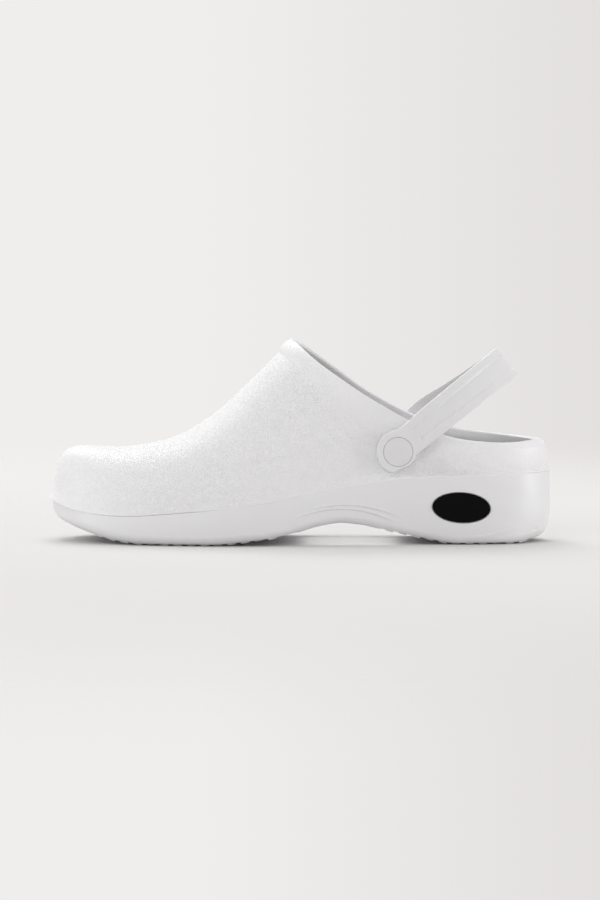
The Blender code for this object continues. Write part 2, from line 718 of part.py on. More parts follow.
def oval_pad(name, grow, proud, depth, group, finish=None):
    """An oval plate that follows the sole's side, from proud of it to a depth inside it."""
    angle = np.arange(BADGE_STEPS) * 2 * np.pi / BADGE_STEPS
    rings = []
    for row in BADGE_RINGS:
        out = proud if row.on_face else -depth
        along = row.share * (BADGE_RADII[0] + grow) * np.cos(angle)
        above = row.share * (BADGE_RADII[1] + grow) * np.sin(angle)
        x = BADGE_X + along * math.cos(BADGE_TILT) - above * math.sin(BADGE_TILT)
        z = BADGE_Z + along * math.sin(BADGE_TILT) + above * math.cos(BADGE_TILT)
        rings.append(np.stack([x, sole_side_y(x, z) - out, z], axis=1))
    return loft(name, rings, group, finish, zipped=False)


clear_scene()
clog = collection("clog")
cutters = collection("cutters")
white_foam = material("white_foam", WHITE_FOAM, 0.5)
make_upper(clog, cutters, white_foam)
make_sole(clog, cutters, material("white_sole_foam", WHITE_FOAM, 0.42))
make_insole(clog, material("grey_footbed", GREY_FOOTBED, 0.7))
make_strap(clog, cutters, material("white_strap_foam", WHITE_STRAP, 0.45))
make_rivet("rivet_outer", -1, clog, material("white_outer_rivet", WHITE_RIVET, 0.35))
make_rivet("rivet_inner", 1, clog, material("white_inner_rivet", WHITE_RIVET, 0.35))
oval_pad("badge", 0, BADGE_PROUD, BADGE_DEPTH, clog, material("black_badge", BLACK_GLOSS, 0.2))
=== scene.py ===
"""Looks of a white moulded foam work clog for the left foot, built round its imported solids.

Toe towards -X, heel towards +X, the outer side of the foot towards -Y, +Z up, floor at z = 0.
"""
import math
from collections import namedtuple

import bmesh
import bpy
import numpy as np
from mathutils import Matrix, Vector


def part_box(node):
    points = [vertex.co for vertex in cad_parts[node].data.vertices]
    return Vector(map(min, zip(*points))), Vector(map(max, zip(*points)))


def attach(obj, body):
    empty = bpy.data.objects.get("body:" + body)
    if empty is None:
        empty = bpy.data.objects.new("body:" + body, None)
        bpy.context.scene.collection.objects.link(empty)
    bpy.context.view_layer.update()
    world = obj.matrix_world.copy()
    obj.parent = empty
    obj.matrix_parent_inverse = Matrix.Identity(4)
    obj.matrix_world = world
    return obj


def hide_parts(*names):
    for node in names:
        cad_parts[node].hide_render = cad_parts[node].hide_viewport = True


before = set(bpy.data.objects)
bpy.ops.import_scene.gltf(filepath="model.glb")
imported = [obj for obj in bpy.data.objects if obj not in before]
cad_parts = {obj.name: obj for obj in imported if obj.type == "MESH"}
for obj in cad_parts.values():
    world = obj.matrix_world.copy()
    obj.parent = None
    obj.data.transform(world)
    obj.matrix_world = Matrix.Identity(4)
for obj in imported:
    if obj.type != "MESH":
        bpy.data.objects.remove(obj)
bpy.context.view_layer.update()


# Sole
# The thick base of the shoe, moulded in white foam in one shot. Its side bulges a little, turns
# under into the tread and has two fine ribs over the arch. The upper is bonded to its rim.

MM = 0.001
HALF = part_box("sole")[1].x         # half the shoe's length
COLUMNS = 320                      # cuts round the shoe
COLUMN_EVENNESS = 0.12             # draws columns from the ends towards the waist
TOE_ROUND, HEEL_ROUND = 5.0, 8.0   # end curves of the plan outline, higher is blunter

# Sections across the shoe, all in millimetres except square, which is the exponent of the arch
Station = namedtuple("Station", "x half_width centre crown square junction bottom floor tuck")
STATIONS = [
    Station(-144, 49.0, 12.0, 55.2, 3.2, 25.5, 14.0, 20.0, 7.5),
    Station(-132, 49.5, 11.2, 54.6, 3.2, 19.6, 9.4, 16.0, 8.5),
    Station(-120, 50.5, 10.0, 53.8, 3.2, 17.2, 5.3, 13.4, 8.0),
    Station(-106, 52.0, 8.2, 52.9, 3.1, 16.4, 1.6, 11.8, 7.0),
    Station(-92, 53.3, 6.6, 54.0, 2.9, 16.8, 0.0, 11.0, 6.0),
    Station(-70, 54.0, 4.2, 59.3, 2.6, 18.7, 0.0, 11.0, 5.0),
    Station(-48, 53.8, 1.8, 73.3, 2.3, 20.7, 0.0, 11.6, 5.0),
    Station(-34, 52.8, 0.4, 86.7, 2.2, 22.0, 1.4, 12.6, 5.0),
    Station(-20, 50.5, -0.6, 100.4, 2.1, 24.2, 3.0, 14.2, 4.5),
    Station(-6, 47.5, -1.2, 114.5, 2.1, 27.7, 5.8, 16.0, 4.0),
    Station(8, 44.5, -1.4, 122.4, 2.1, 30.6, 10.4, 18.2, 4.0),
    Station(22, 42.3, -1.2, 123.0, 2.2, 32.9, 13.0, 20.2, 4.0),
    Station(36, 40.8, -0.4, 119.0, 2.3, 34.8, 11.4, 21.2, 4.0),
    Station(52, 39.6, 0.8, 113.0, 2.4, 37.3, 7.2, 21.6, 4.0),
    Station(70, 39.0, 1.4, 107.0, 2.5, 38.8, 3.2, 21.8, 4.0),
    Station(86, 38.8, 1.6, 103.0, 2.6, 38.9, 0.0, 21.8, 4.0),
    Station(105, 38.6, 1.6, 101.0, 2.6, 39.2, 0.0, 22.0, 4.0),
    Station(124, 38.2, 1.6, 100.0, 2.6, 39.6, 0.0, 22.4, 4.0),
    Station(144, 37.0, 1.6, 100.0, 2.6, 41.0, 3.5, 24.0, 7.0),
]
GRID_STEP, BELL_REACH = 0.5, 3
GRID = np.arange(-180, 180 + GRID_STEP, GRID_STEP)


def fair_line(xs, values, blur):
    """The table's straight runs rounded off by a moving bell of the given width in millimetres."""
    reach = np.arange(-BELL_REACH * blur, BELL_REACH * blur + GRID_STEP, GRID_STEP)
    bell = np.exp(-0.5 * (reach / blur) ** 2)
    side = len(reach) // 2
    padded = np.concatenate([GRID[0] + reach[:side], GRID, GRID[-1] + reach[side + 1:]])
    faired = np.convolve(np.interp(padded, xs, values), bell / bell.sum(), mode="valid")
    return lambda x: np.interp(np.asarray(x) / MM, GRID, faired) * MM


def column(name, blur):
    """A column of the table as a fair line along the shoe."""
    return fair_line([row.x for row in STATIONS], [getattr(row, name) for row in STATIONS], blur)


full_half_width = column("half_width", 8.0)
table_centre = column("centre", 8.0)
junction = column("junction", 5.0)
bottom = column("bottom", 2.5)
floor = column("floor", 5.0)
tuck = column("tuck", 6.0)


def end_curve(share, toe_power, heel_power):
    """How far the form still stands at a share of the half length: 1 in the middle, 0 at the ends."""
    power = np.where(share < 0, toe_power, heel_power)
    return np.sqrt(np.clip(1 - np.abs(share) ** power, 0, 1))


def half_width(x, inset):
    share = np.clip(x / (HALF - inset), -1, 1)
    return (full_half_width(x) - inset) * end_curve(share, TOE_ROUND, HEEL_ROUND)


PLAN_STEPS = 600
plan_x = np.linspace(-HALF, HALF, PLAN_STEPS)
PLAN_MIDDLE = (np.min(table_centre(plan_x) - half_width(plan_x, 0))
               + np.max(table_centre(plan_x) + half_width(plan_x, 0))) / 2


def centre(x):
    return table_centre(x) - PLAN_MIDDLE


def turn(count):
    """Angles round the shoe: from the toe along the outer side to the heel and back inside."""
    even = np.arange(count) * 2 * np.pi / count
    return even + COLUMN_EVENNESS * np.sin(2 * even)


def outline_side(angle):
    """-1 along the outer side, 1 along the inner side and 0 at the two ends."""
    return -np.sign(np.round(np.sin(angle), 9))


def outline(inset, count=COLUMNS):
    """Plan ring of the sole at an inset from its widest line, as x and y."""
    angle = turn(count)
    x = -(HALF - inset) * np.cos(angle)
    return x, centre(x) + outline_side(angle) * half_width(x, inset)


def ring(inset, height, count=COLUMNS):
    """Plan ring lifted to a height, which is a function of x or one value for each column."""
    x, y = outline(inset, count)
    z = height(x) if callable(height) else np.broadcast_to(height, x.shape)
    return np.stack([x, y, z], axis=1)


def part_way(first, last, share):
    """The value at a share of the way from first to last."""
    return first + (last - first) * share


def step_between(value, start, end):
    """Smooth rise from 0 at start to 1 at end."""
    share = np.clip((value - start) / (end - start), 0, 1)
    return share * share * (3 - 2 * share)


def window(x, start, end, fade):
    """1 between start and end, fading smoothly to 0 outside."""
    rise = step_between(x, start - fade / 2, start + fade / 2)
    return rise * step_between(x, end + fade / 2, end - fade / 2)


TINY = 1e-9
BULGE, BULGE_AT = 1.0 * MM, 0.55
TUCK_ASPECT = 0.9
SIDE_ROWS = 110
SIDE_CROWDING = 1.5
UNDERSIDE_INSETS = [34 * MM, 26 * MM, 18 * MM]
EDGE_LIFT, EDGE_WIDTH, EDGE_SLOPE = 0.9 * MM, 1.8 * MM, 0.8 * MM   # rim round the tread
TREAD_DEPTH, TREAD_FADE = 1.8 * MM, 10 * MM
TREAD_ZONES = [(-126 * MM, -4 * MM), (48 * MM, 140 * MM)]

# Two ribs that bow over the arch, each with a crisp lower flank and a soft upper one. In millimetres:
# where the bow is highest, how it falls off with the distance from there squared, and its ends
Rib = namedtuple("Rib", "x height fall start end")
RIBS = [Rib(22.7, 21.1, 0.0079, 0, 51), Rib(24.0, 23.4, 0.0069, 7, 54)]
RIB_UNDER, RIB_OVER = 0.5 * MM, 1.1 * MM
RIB_PROUD, RIB_FADE = 0.7 * MM, 12 * MM

# Low ridge on the heel, which climbs towards the back: crisp above and soft below
RIDGE_FROM, RIDGE_TO, RIDGE_FADE = 99 * MM, 122 * MM, 10 * MM
RIDGE_LOW, RIDGE_HIGH, RIDGE_CLIMB = 4.8 * MM, 9.8 * MM, 1.5
RIDGE_PROUD, RIDGE_OVER, RIDGE_UNDER = 0.35 * MM, 0.7 * MM, 3.0 * MM

# Mark of the mould's gate, low on the outer side of the heel
GATE_X, GATE_Z = 136 * MM, 8.0 * MM
GATE_RADIUS, GATE_DEPTH = 0.9 * MM, 0.45 * MM

# Parting line under the upper: open round the toe and ball and behind the heel, closed at the waist
LIP_ROUND = 0.25 * MM
LIP_ROWS = np.array([0.6, 0.3, 0.1])
SEAM_GAP, SEAM_CLOSED = 0.1 * MM, 0.03 * MM
WAIST_FROM, WAIST_TO, WAIST_FADE = -55 * MM, 131 * MM, 24 * MM

# Ends of the sole: an extra lip round the toe cap, the side that lies back under it, and the heel's
# lower end, which is rounded over a share of the side's height
TOE_LIP, TOE_LIP_FROM, TOE_LIP_TO = 1.5 * MM, -116 * MM, -142 * MM
TOE_SET_BACK = 1.5 * MM
TOE_LIP_CURL, SET_BACK_CURL = 9, 6
HEEL_TURN, HEEL_TURN_SHARE = 2.5 * MM, 0.45
HEEL_TURN_FROM, HEEL_TURN_TO = 122 * MM, 142 * MM

# Inside of the sole: inset, and share of the depth from its rim down to its floor
Cavity = namedtuple("Cavity", "inset depth")
CAVITY = [
    Cavity(2.4 * MM, 0), Cavity(6.0 * MM, 0), Cavity(6.6 * MM, 0.08), Cavity(7.0 * MM, 0.35),
    Cavity(7.4 * MM, 0.7), Cavity(7.8 * MM, 0.9), Cavity(8.6 * MM, 0.97), Cavity(9.6 * MM, 1),
    Cavity(20 * MM, 1), Cavity(33 * MM, 1),
]


def base_height(x):
    """Underside between the lugs."""
    zones = sum(window(x, start, end, TREAD_FADE) for start, end in TREAD_ZONES)
    return bottom(x) + TREAD_DEPTH * zones


def side_inset(share):
    """Inset of the side at a share of its height: fullest a little over the middle."""
    return BULGE * ((share - BULGE_AT) / BULGE_AT) ** 2


def seam_open(x):
    """How open the parting line is: 1 at the toe and behind the heel, 0 along the waist."""
    return 1 - window(x, WAIST_FROM, WAIST_TO, WAIST_FADE)


def round_off(depth, radius):
    """Inset of an edge's quarter round at a depth under the edge."""
    left = 1 - np.clip(depth / np.maximum(radius, TINY), 0, 1)
    return radius * (1 - np.sqrt(1 - left ** 2))


def toe_lip(x):
    return TOE_LIP * step_between(x, TOE_LIP_FROM, TOE_LIP_TO)


def end_turns(x, rise):
    """How far the sole lies back under the toe lip and rounds in low behind the heel."""
    toe = TOE_SET_BACK * toe_lip(x) / TOE_LIP * (1 - rise ** SET_BACK_CURL)
    heel = HEEL_TURN * step_between(x, HEEL_TURN_FROM, HEEL_TURN_TO)
    return toe + heel * max(1 - rise / HEEL_TURN_SHARE, 0) ** 2


def ridge(height, crest, under, over):
    """1 on a crest line, fading out over one reach below it and another above it."""
    return step_between(height, crest - under, crest) * step_between(height, crest + over, crest)


def arch_ribs(x, height):
    relief = 0
    for rib in RIBS:
        crest = (rib.height - rib.fall * (x / MM - rib.x) ** 2) * MM
        proud = ridge(height, crest, RIB_UNDER, RIB_OVER)
        relief = relief + proud * window(x, rib.start * MM, rib.end * MM, RIB_FADE)
    return RIB_PROUD * relief


def heel_ridge(x, height):
    along = np.clip((x - RIDGE_FROM) / (RIDGE_TO - RIDGE_FROM), 0, 1)
    crest = part_way(RIDGE_LOW, RIDGE_HIGH, along ** RIDGE_CLIMB)
    proud = ridge(height, crest, RIDGE_UNDER, RIDGE_OVER)
    return RIDGE_PROUD * proud * window(x, RIDGE_FROM, RIDGE_TO, RIDGE_FADE)


def gate_mark(x, height):
    away = np.hypot(x - GATE_X, height - GATE_Z) / GATE_RADIUS
    outer_side = np.sin(turn(len(x))) > 0
    return GATE_DEPTH * np.exp(-away ** 2) * outer_side


def cavity_height(depth):
    """Height line inside the sole at a share of the depth from its rim to its floor."""
    return lambda x: part_way(junction(x), floor(x), depth)


def sole_rings():
    """Rings from the middle of the underside, up the side, over the rim and into the hollow."""
    x, _ = outline(0)
    under = tuck(x)
    edge_x, _ = outline(under)
    low, high = bottom(edge_x) + EDGE_LIFT, junction(x)
    rings = [ring(inset, base_height) for inset in UNDERSIDE_INSETS]
    rings.append(ring(under + EDGE_WIDTH + EDGE_SLOPE, base_height))
    rings.append(ring(under + EDGE_WIDTH, lambda x: bottom(x) + EDGE_LIFT))
    rises = np.linspace(0, 1, SIDE_ROWS) ** SIDE_CROWDING
    lip = 1 - LIP_ROWS * LIP_ROUND / np.mean(high - low)
    for rise in np.sort(np.concatenate([rises, lip])):
        height = part_way(low, high, rise)
        left = 1 - np.clip((height - low) / (TUCK_ASPECT * under), 0, 1)
        upright = np.sqrt(1 - left ** 2)
        inset = under * (1 - upright) + (side_inset(rise) + end_turns(x, rise)) * upright
        inset = inset - arch_ribs(x, height) - heel_ridge(x, height) - toe_lip(x) * rise ** TOE_LIP_CURL
        inset = inset + round_off(high - height, LIP_ROUND * seam_open(x)) + gate_mark(x, height)
        rings.append(ring(inset, height))
    rings += [ring(row.inset, cavity_height(row.depth)) for row in CAVITY]
    return rings


def zip_faces(start, count):
    """Faces across a ring, between the columns on its two sides that share an x."""
    faces = []
    for j in range(count // 2):
        corners = [j, j + 1, (count - j - 1) % count, (count - j) % count]
        faces.append([start + corner for corner in dict.fromkeys(corners)])
    return faces


def ring_quads(low, high, count):
    """Faces between two rings of points, given the first point of each ring."""
    here = np.arange(count)
    after = (here + 1) % count
    return np.stack([low + here, low + after, high + after, high + here], axis=1).tolist()


def skin(name, rings, wrap=False):
    """A closed mesh through rings of equal count: with wrap the last ring joins the first, and
    otherwise both ends are zipped across."""
    rows, count = len(rings), len(rings[0])
    faces = []
    for i in range(rows if wrap else rows - 1):
        faces += ring_quads(i * count, (i + 1) % rows * count, count)
    if not wrap:
        faces += zip_faces(0, count) + zip_faces((rows - 1) * count, count)
    return closed_mesh(name, np.concatenate(rings), faces)


def closed_mesh(name, points, faces):
    mesh = bpy.data.meshes.new(name)
    mesh.from_pydata(points, [], faces)
    face_outwards(mesh)
    return mesh


def face_outwards(mesh):
    shell = bmesh.new()
    shell.from_mesh(mesh)
    bmesh.ops.recalc_face_normals(shell, faces=shell.faces)
    shell.to_mesh(mesh)
    shell.free()


SHARP = 50                      # degrees between two faces from which their edge stays crisp


def put(name, data):
    """An object of the scene, made of a mesh, a light or a camera."""
    item = bpy.data.objects.new(name, data)
    bpy.context.scene.collection.objects.link(item)
    return item


def place(name, mesh, finish, sharp=SHARP):
    """Puts a mesh into the scene as a piece of the shoe, with its finish, under the shoe's root."""
    item = put(name, mesh)
    mesh.materials.append(finish)
    mesh.shade_smooth()
    mesh.set_sharp_from_angle(angle=math.radians(sharp))
    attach(item, "root")
    return item


def new_finish(name, colour, roughness):
    """A material and its shader, with the values that are the same all over."""
    finish = bpy.data.materials.new(name)
    finish.use_nodes = True
    shader = finish.node_tree.nodes["Principled BSDF"]
    shader.inputs["Base Color"].default_value = (*colour, 1)
    shader.inputs["Roughness"].default_value = roughness
    return finish, shader


def shader_node(tree, kind, inputs, **settings):
    """A node with its settings, and with each input set to a value or linked to an output."""
    node = tree.nodes.new(kind)
    for setting, value in settings.items():
        setattr(node, setting, value)
    for socket, value in inputs.items():
        if isinstance(value, bpy.types.NodeSocket):
            tree.links.new(value, node.inputs[socket])
        else:
            node.inputs[socket].default_value = value
    return node


def map_range(tree, source, start, end, interpolation="LINEAR"):
    """The source mapped from the start range to the end range."""
    inputs = {"Value": source, "From Min": start[0], "From Max": start[1],
              "To Min": end[0], "To Max": end[1]}
    node = shader_node(tree, "ShaderNodeMapRange", inputs, interpolation_type=interpolation)
    return node.outputs["Result"]


def in_space(finish, scale):
    """The shoe's own coordinates, scaled so that one patch is one unit."""
    where = shader_node(finish.node_tree, "ShaderNodeTexCoord", {})
    inputs = {"Vector": where.outputs["Object"], "Scale": scale}
    return shader_node(finish.node_tree, "ShaderNodeMapping", inputs).outputs["Vector"]


def noise(finish, patches, detail=2.0):
    """Soft noise with a number of patches to the metre."""
    inputs = {"Vector": in_space(finish, (patches,) * 3), "Scale": 1.0, "Detail": detail}
    return shader_node(finish.node_tree, "ShaderNodeTexNoise", inputs).outputs["Fac"]


def colour_mix(tree, factor, first, second):
    inputs = {"Factor": factor, "A": first, "B": second}
    return shader_node(tree, "ShaderNodeMix", inputs, data_type="RGBA").outputs["Result"]


def tint(finish, shader, source, first, second):
    """Base colour that drifts between two colours with the source."""
    mixed = colour_mix(finish.node_tree, source, (*first, 1), (*second, 1))
    finish.node_tree.links.new(mixed, shader.inputs["Base Color"])


def emboss(finish, shader, source, depth):
    """Bump of a depth in metres, on top of any bump that the shader has already."""
    tree = finish.node_tree
    inputs = {"Height": source, "Distance": depth, "Strength": 1.0}
    bump = shader_node(tree, "ShaderNodeBump", inputs)
    for link in list(shader.inputs["Normal"].links):
        tree.links.new(link.from_socket, bump.inputs["Normal"])
    tree.links.new(bump.outputs["Normal"], shader.inputs["Normal"])


# Faint unevenness that a mould leaves: patches to the metre, detail of the noise and depth
Peel = namedtuple("Peel", "patches detail depth")
FOAM_PEELS = [Peel(420, 3.0, 0.03 * MM), Peel(1900, 2.0, 0.012 * MM)]
FOAM_TINT = (1.0, 1.0, 1.016)
FOAM_DRIFT, FOAM_DRIFT_PATCHES = 0.97, 90
FOAM_MOTTLE, FOAM_MOTTLE_PATCHES = (-0.05, 0.07), 260   # change of roughness
NOISE_RANGE = (0.3, 0.7)        # values that a noise mostly lies between
SOLE_WHITE, SOLE_ROUGHNESS = 0.78, 0.42


def mould_skin(finish, shader, peel):
    emboss(finish, shader, noise(finish, peel.patches, peel.detail), peel.depth)


def foam_colour(white):
    return [white * share for share in FOAM_TINT]


def moulded_foam(name, white, roughness):
    """Smooth white foam with the faint orange-peel skin that the mould leaves on it."""
    finish, shader = new_finish(name, foam_colour(white), roughness)
    drift = noise(finish, FOAM_DRIFT_PATCHES)
    tint(finish, shader, drift, foam_colour(white), foam_colour(white * FOAM_DRIFT))
    limits = [roughness + change for change in FOAM_MOTTLE]
    mottle = map_range(finish.node_tree, noise(finish, FOAM_MOTTLE_PATCHES), NOISE_RANGE, limits)
    finish.node_tree.links.new(mottle, shader.inputs["Roughness"])
    for peel in FOAM_PEELS:
        mould_skin(finish, shader, peel)
    return finish, shader


sole_finish, _ = moulded_foam("white_sole_foam", SOLE_WHITE, SOLE_ROUGHNESS)
sole = place("sole_body", skin("sole_body", sole_rings()), sole_finish)
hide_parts("sole")


# Tread
# Rows of small lugs moulded with the sole, in a forefoot field and a heel field. Each lug has
# drafted sides so that it leaves the mould, and every other row is set half a lug across.

LUG_PITCH, LUG_LENGTH = 7.7 * MM, 5.2 * MM
LUG_WIDTH, LUG_GAP = 7.4 * MM, 1.8 * MM
LUG_LEAST = 2.0 * MM            # narrowest lug at the end of a row
LUG_ROOT = 0.6 * MM             # how far a lug reaches up into the sole
LUG_INSET = 1.6 * MM            # from the edge of the tread
LUG_DRAFT, LUG_EDGE = 0.25 * MM, 0.35 * MM
TREAD_ROUGHNESS, TREAD_SHARP = 0.5, 20


def lug_spans(reach, shift):
    """Left and right shares of each lug in a row, cut off at the row's reach."""
    spans = []
    left = -math.ceil(reach / LUG_PITCH) * (LUG_WIDTH + LUG_GAP) + shift
    while left < reach:
        start, end = max(left, -reach), min(left + LUG_WIDTH, reach)
        if end - start > LUG_LEAST:
            spans.append((start / reach, end / reach))
        left += LUG_WIDTH + LUG_GAP
    return spans


def lug_corners(front, span, taper, lift):
    """Four corners of a lug's level, tapered in from its sides and lifted over its underside."""
    corners = []
    for x, side in [(front, 0), (front, 1), (front + LUG_LENGTH, 1), (front + LUG_LENGTH, 0)]:
        inward = taper if x == front else -taper
        reach = float(half_width(x, tuck(x) + LUG_INSET))
        y = float(centre(x)) + span[side] * reach + (taper if side == 0 else -taper)
        corners.append((x + inward, y, lift(x)))
    return corners


def capped_faces(start, rows, count):
    """Faces of a stack of rings of points, with a flat cap on the first and the last ring."""
    last = start + (rows - 1) * count
    faces = [list(range(start, start + count)), list(range(last, last + count))]
    for low in range(start, last, count):
        faces += ring_quads(low, low + count, count)
    return faces


def add_lug(points, faces, front, span):
    levels = [
        lug_corners(front, span, 0, lambda x: float(base_height(x)) + LUG_ROOT),
        lug_corners(front, span, LUG_DRAFT, lambda x: float(bottom(x)) + LUG_EDGE),
        lug_corners(front, span, LUG_DRAFT + LUG_EDGE, lambda x: float(bottom(x))),
    ]
    faces.extend(capped_faces(len(points), len(levels), len(levels[0])))
    for corners in levels:
        points.extend(corners)


def tread_mesh():
    points, faces = [], []
    for start, end in TREAD_ZONES:
        for i in range(int((end - start) / LUG_PITCH)):
            front = start + i * LUG_PITCH
            reach = float(half_width(front, tuck(front) + LUG_INSET))
            shift = (LUG_WIDTH + LUG_GAP) / 2 * (i % 2)
            for span in lug_spans(reach, shift):
                add_lug(points, faces, front, span)
    return closed_mesh("tread_lugs", points, faces)


tread_finish, _ = moulded_foam("white_tread_foam", SOLE_WHITE, TREAD_ROUGHNESS)
place("tread_lugs", tread_mesh(), tread_finish, sharp=TREAD_SHARP)


# Footbed
# A loose pad of pale grey foam that lies in the sole's hollow. Its edge is rounded, its rim is
# drawn up a little round the foot, and fine round pips stand on it for grip.

CLEAR = 0.3 * MM
FOOTBED_THICK = 3.5 * MM
FOOTBED_EDGE, FOOTBED_ROUND = 9.5 * MM, 1.4 * MM
FOOTBED_CUP, FOOTBED_CUP_FROM = 1.2 * MM, 0.6
FOOTBED_COLUMNS = 200
FOOTBED_BACK_INSETS = np.array([33, 22, 14, 10.9]) * MM
FOOTBED_EDGE_ANGLES = np.radians(np.linspace(-75, 90, 10))
FOOTBED_FACE_INSETS = np.array([12, 14, 16, 18, 20, 23, 27, 33]) * MM


def footbed_top(x, y):
    """Height of the footbed's face, drawn up towards its edge."""
    across = np.abs(y - centre(x)) / np.maximum(half_width(x, FOOTBED_EDGE), TINY)
    ends = np.abs(x) / (HALF - FOOTBED_EDGE)
    cup = step_between(np.maximum(across, ends), FOOTBED_CUP_FROM, 1)
    return floor(x) + CLEAR + FOOTBED_THICK + FOOTBED_CUP * cup


def footbed_rings():
    """Rings from the middle of its back, round the edge and over its face."""
    rings = []
    for inset in FOOTBED_BACK_INSETS:
        rings.append(ring(inset, lambda x: floor(x) + CLEAR, FOOTBED_COLUMNS))
    for angle in FOOTBED_EDGE_ANGLES:
        x, y = outline(FOOTBED_EDGE + FOOTBED_ROUND * (1 - math.cos(angle)), FOOTBED_COLUMNS)
        height = part_way(floor(x) + CLEAR, footbed_top(x, y), (1 + math.sin(angle)) / 2)
        rings.append(np.stack([x, y, height], axis=1))
    for inset in FOOTBED_FACE_INSETS:
        x, y = outline(inset, FOOTBED_COLUMNS)
        rings.append(np.stack([x, y, footbed_top(x, y)], axis=1))
    return rings


PIP_PITCH = 6.0 * MM
PIP_RADIUS, PIP_HEIGHT = 1.5 * MM, 0.7 * MM
PIP_SIDES = 12
PIP_ANGLES = np.radians([-20, 10, 35, 60])
PIP_MARGIN = 15 * MM


def pip_mesh():
    """Round pips on a staggered grid over the footbed."""
    points, faces = [], []
    row_pitch = PIP_PITCH * math.sqrt(3) / 2
    turn_round = np.arange(PIP_SIDES) * 2 * np.pi / PIP_SIDES
    reach = HALF - PIP_MARGIN
    for i, x in enumerate(np.arange(-reach, reach, row_pitch)):
        wide = float(half_width(x, PIP_MARGIN))
        shift = PIP_PITCH / 2 * (i % 2)
        count = int(wide / PIP_PITCH)
        for y in centre(x) + np.arange(-count, count) * PIP_PITCH + shift:
            add_pip(points, faces, x, y, turn_round)
    return closed_mesh("footbed_pips", points, faces)


def add_pip(points, faces, x, y, turn_round):
    faces.extend(capped_faces(len(points), len(PIP_ANGLES), PIP_SIDES))
    base = float(footbed_top(x, y))
    for angle in PIP_ANGLES:
        radius = PIP_RADIUS * math.cos(angle)
        height = base + PIP_HEIGHT * math.sin(angle)
        for a in turn_round:
            points.append((x + radius * math.cos(a), y + radius * math.sin(a), height))


FOOTBED_GREY, FOOTBED_SHADE = (0.7, 0.7, 0.71), (0.64, 0.64, 0.655)
FOOTBED_ROUGHNESS = 0.72
FOOTBED_DRIFT_PATCHES, FOOTBED_DRIFT_DETAIL = 130, 3.0
FOOTBED_PEEL = Peel(1300, 3.0, 0.06 * MM)

footbed_finish, footbed_shader = new_finish("grey_footbed_foam", FOOTBED_GREY, FOOTBED_ROUGHNESS)
footbed_drift = noise(footbed_finish, FOOTBED_DRIFT_PATCHES, FOOTBED_DRIFT_DETAIL)
tint(footbed_finish, footbed_shader, footbed_drift, FOOTBED_GREY, FOOTBED_SHADE)
mould_skin(footbed_finish, footbed_shader, FOOTBED_PEEL)
footbed = place("footbed", skin("footbed", footbed_rings()), footbed_finish)
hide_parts("insole")
place("footbed_pips", pip_mesh(), footbed_finish)


# Upper
# The shell over the foot, moulded in white foam with a closed toe. A fine leather grain is cut into
# its mould, a smooth band stands out round the collar, and its flared foot is bonded to the sole.

LIP = 2.0 * MM                  # how far the wall stands inside the sole's widest line
FLARE, FLARE_WAIST, FLARE_HEIGHT = 1.7 * MM, 1.35 * MM, 28.0 * MM
END_FLARE_HEIGHT = 8.0 * MM
WALL = 3.0 * MM
TOE_WALL, HEEL_WALL = 32.0, 7.0   # end curves of the upper's height, higher is steeper

# Height of the collar's edge along the shoe, from the instep peak to the back of the heel. It lies
# lower on the outer side, below the ankle bone
Collar = namedtuple("Collar", "x outer inner")
COLLAR = [
    Collar(-4, 115.9, 115.9), Collar(1.5, 109.4, 111.8), Collar(8, 104.2, 107.0),
    Collar(16, 98.4, 100.9), Collar(36, 84.5, 86.0), Collar(46, 78.7, 80.2), Collar(55, 73.1, 75.0),
    Collar(73, 64.3, 66.4), Collar(84, 60.3, 62.8), Collar(94, 58.3, 61.2), Collar(113, 56.6, 59.2),
    Collar(126, 57.2, 58.7), Collar(140, 58.6, 58.6),
]
COLLAR_FROM, COLLAR_STEPS = -20 * MM, 8000
# Share along the opening's edge for each share along the outline: its columns stand upright at the
# heel and fan out in front
Ease = namedtuple("Ease", "outline edge")
EASE = [Ease(0, 0), Ease(0.35, 0.16), Ease(0.7, 0.43), Ease(0.85, 0.71), Ease(1, 1)]
EASE_STEPS, EASE_BLUR = 200, 20

BAND_WIDTH, BAND_WIDTH_HEEL = 9.0 * MM, 7.5 * MM
BAND_HEEL_FROM, BAND_HEEL_TO = 60 * MM, 115 * MM
BAND_MOST = 0.6                 # most of the wall's height that the band may take
BAND_SLANT_LEAST = 0.5          # sine of the flattest angle of a column to the edge that is allowed for
BAND_BLUR = 8                   # columns on each side over which the band's edge is smoothed
BAND_SIDE, BAND_FRONT, BAND_FRONT_REACH = 0.25 * MM, 2.1 * MM, 13.0 * MM
BAND_BOW, BAND_SPAN = 2.4, 1.15  # roundness of the band's section, and its length over the band's width
RIM_ROUND, RIM_ROWS, RIM_SQUARE = 1.2 * MM, 13, 0.85
# Rolled rim behind the heel: where it sets in, how thick it grows and how far its outer edge rounds down
ROLL_FROM, ROLL_TO = 108 * MM, 136 * MM
ROLL_THICK, ROLL_DROP = 3.5 * MM, 3.0 * MM
FOOT_ROWS = np.array([0, 0.08, 0.2, 0.35, 0.5, 0.8, 1.2, 1.7, 2.3, 3.0, 3.8, 4.6, 5.4]) * MM
BODY_ROWS = 112
BAND_ROWS, BAND_CROWDING = 20, 1.5
INNER_SKIP = 3
FINE_STEPS, FINE_CROWDING, EDGE_STEPS = 500, 2.6, 24

RIVET_X, RIVET_Z = 55.7 * MM, 53.4 * MM
SEAT_FLAT, SEAT_FADE, SEAT_PROUD = 7.0 * MM, 6.0 * MM, 1.3 * MM

crown = column("crown", 5.0)
square = column("square", 8.0)
outer_topline = fair_line([row.x for row in COLLAR], [row.outer for row in COLLAR], 4.0)
inner_topline = fair_line([row.x for row in COLLAR], [row.inner for row in COLLAR], 4.0)


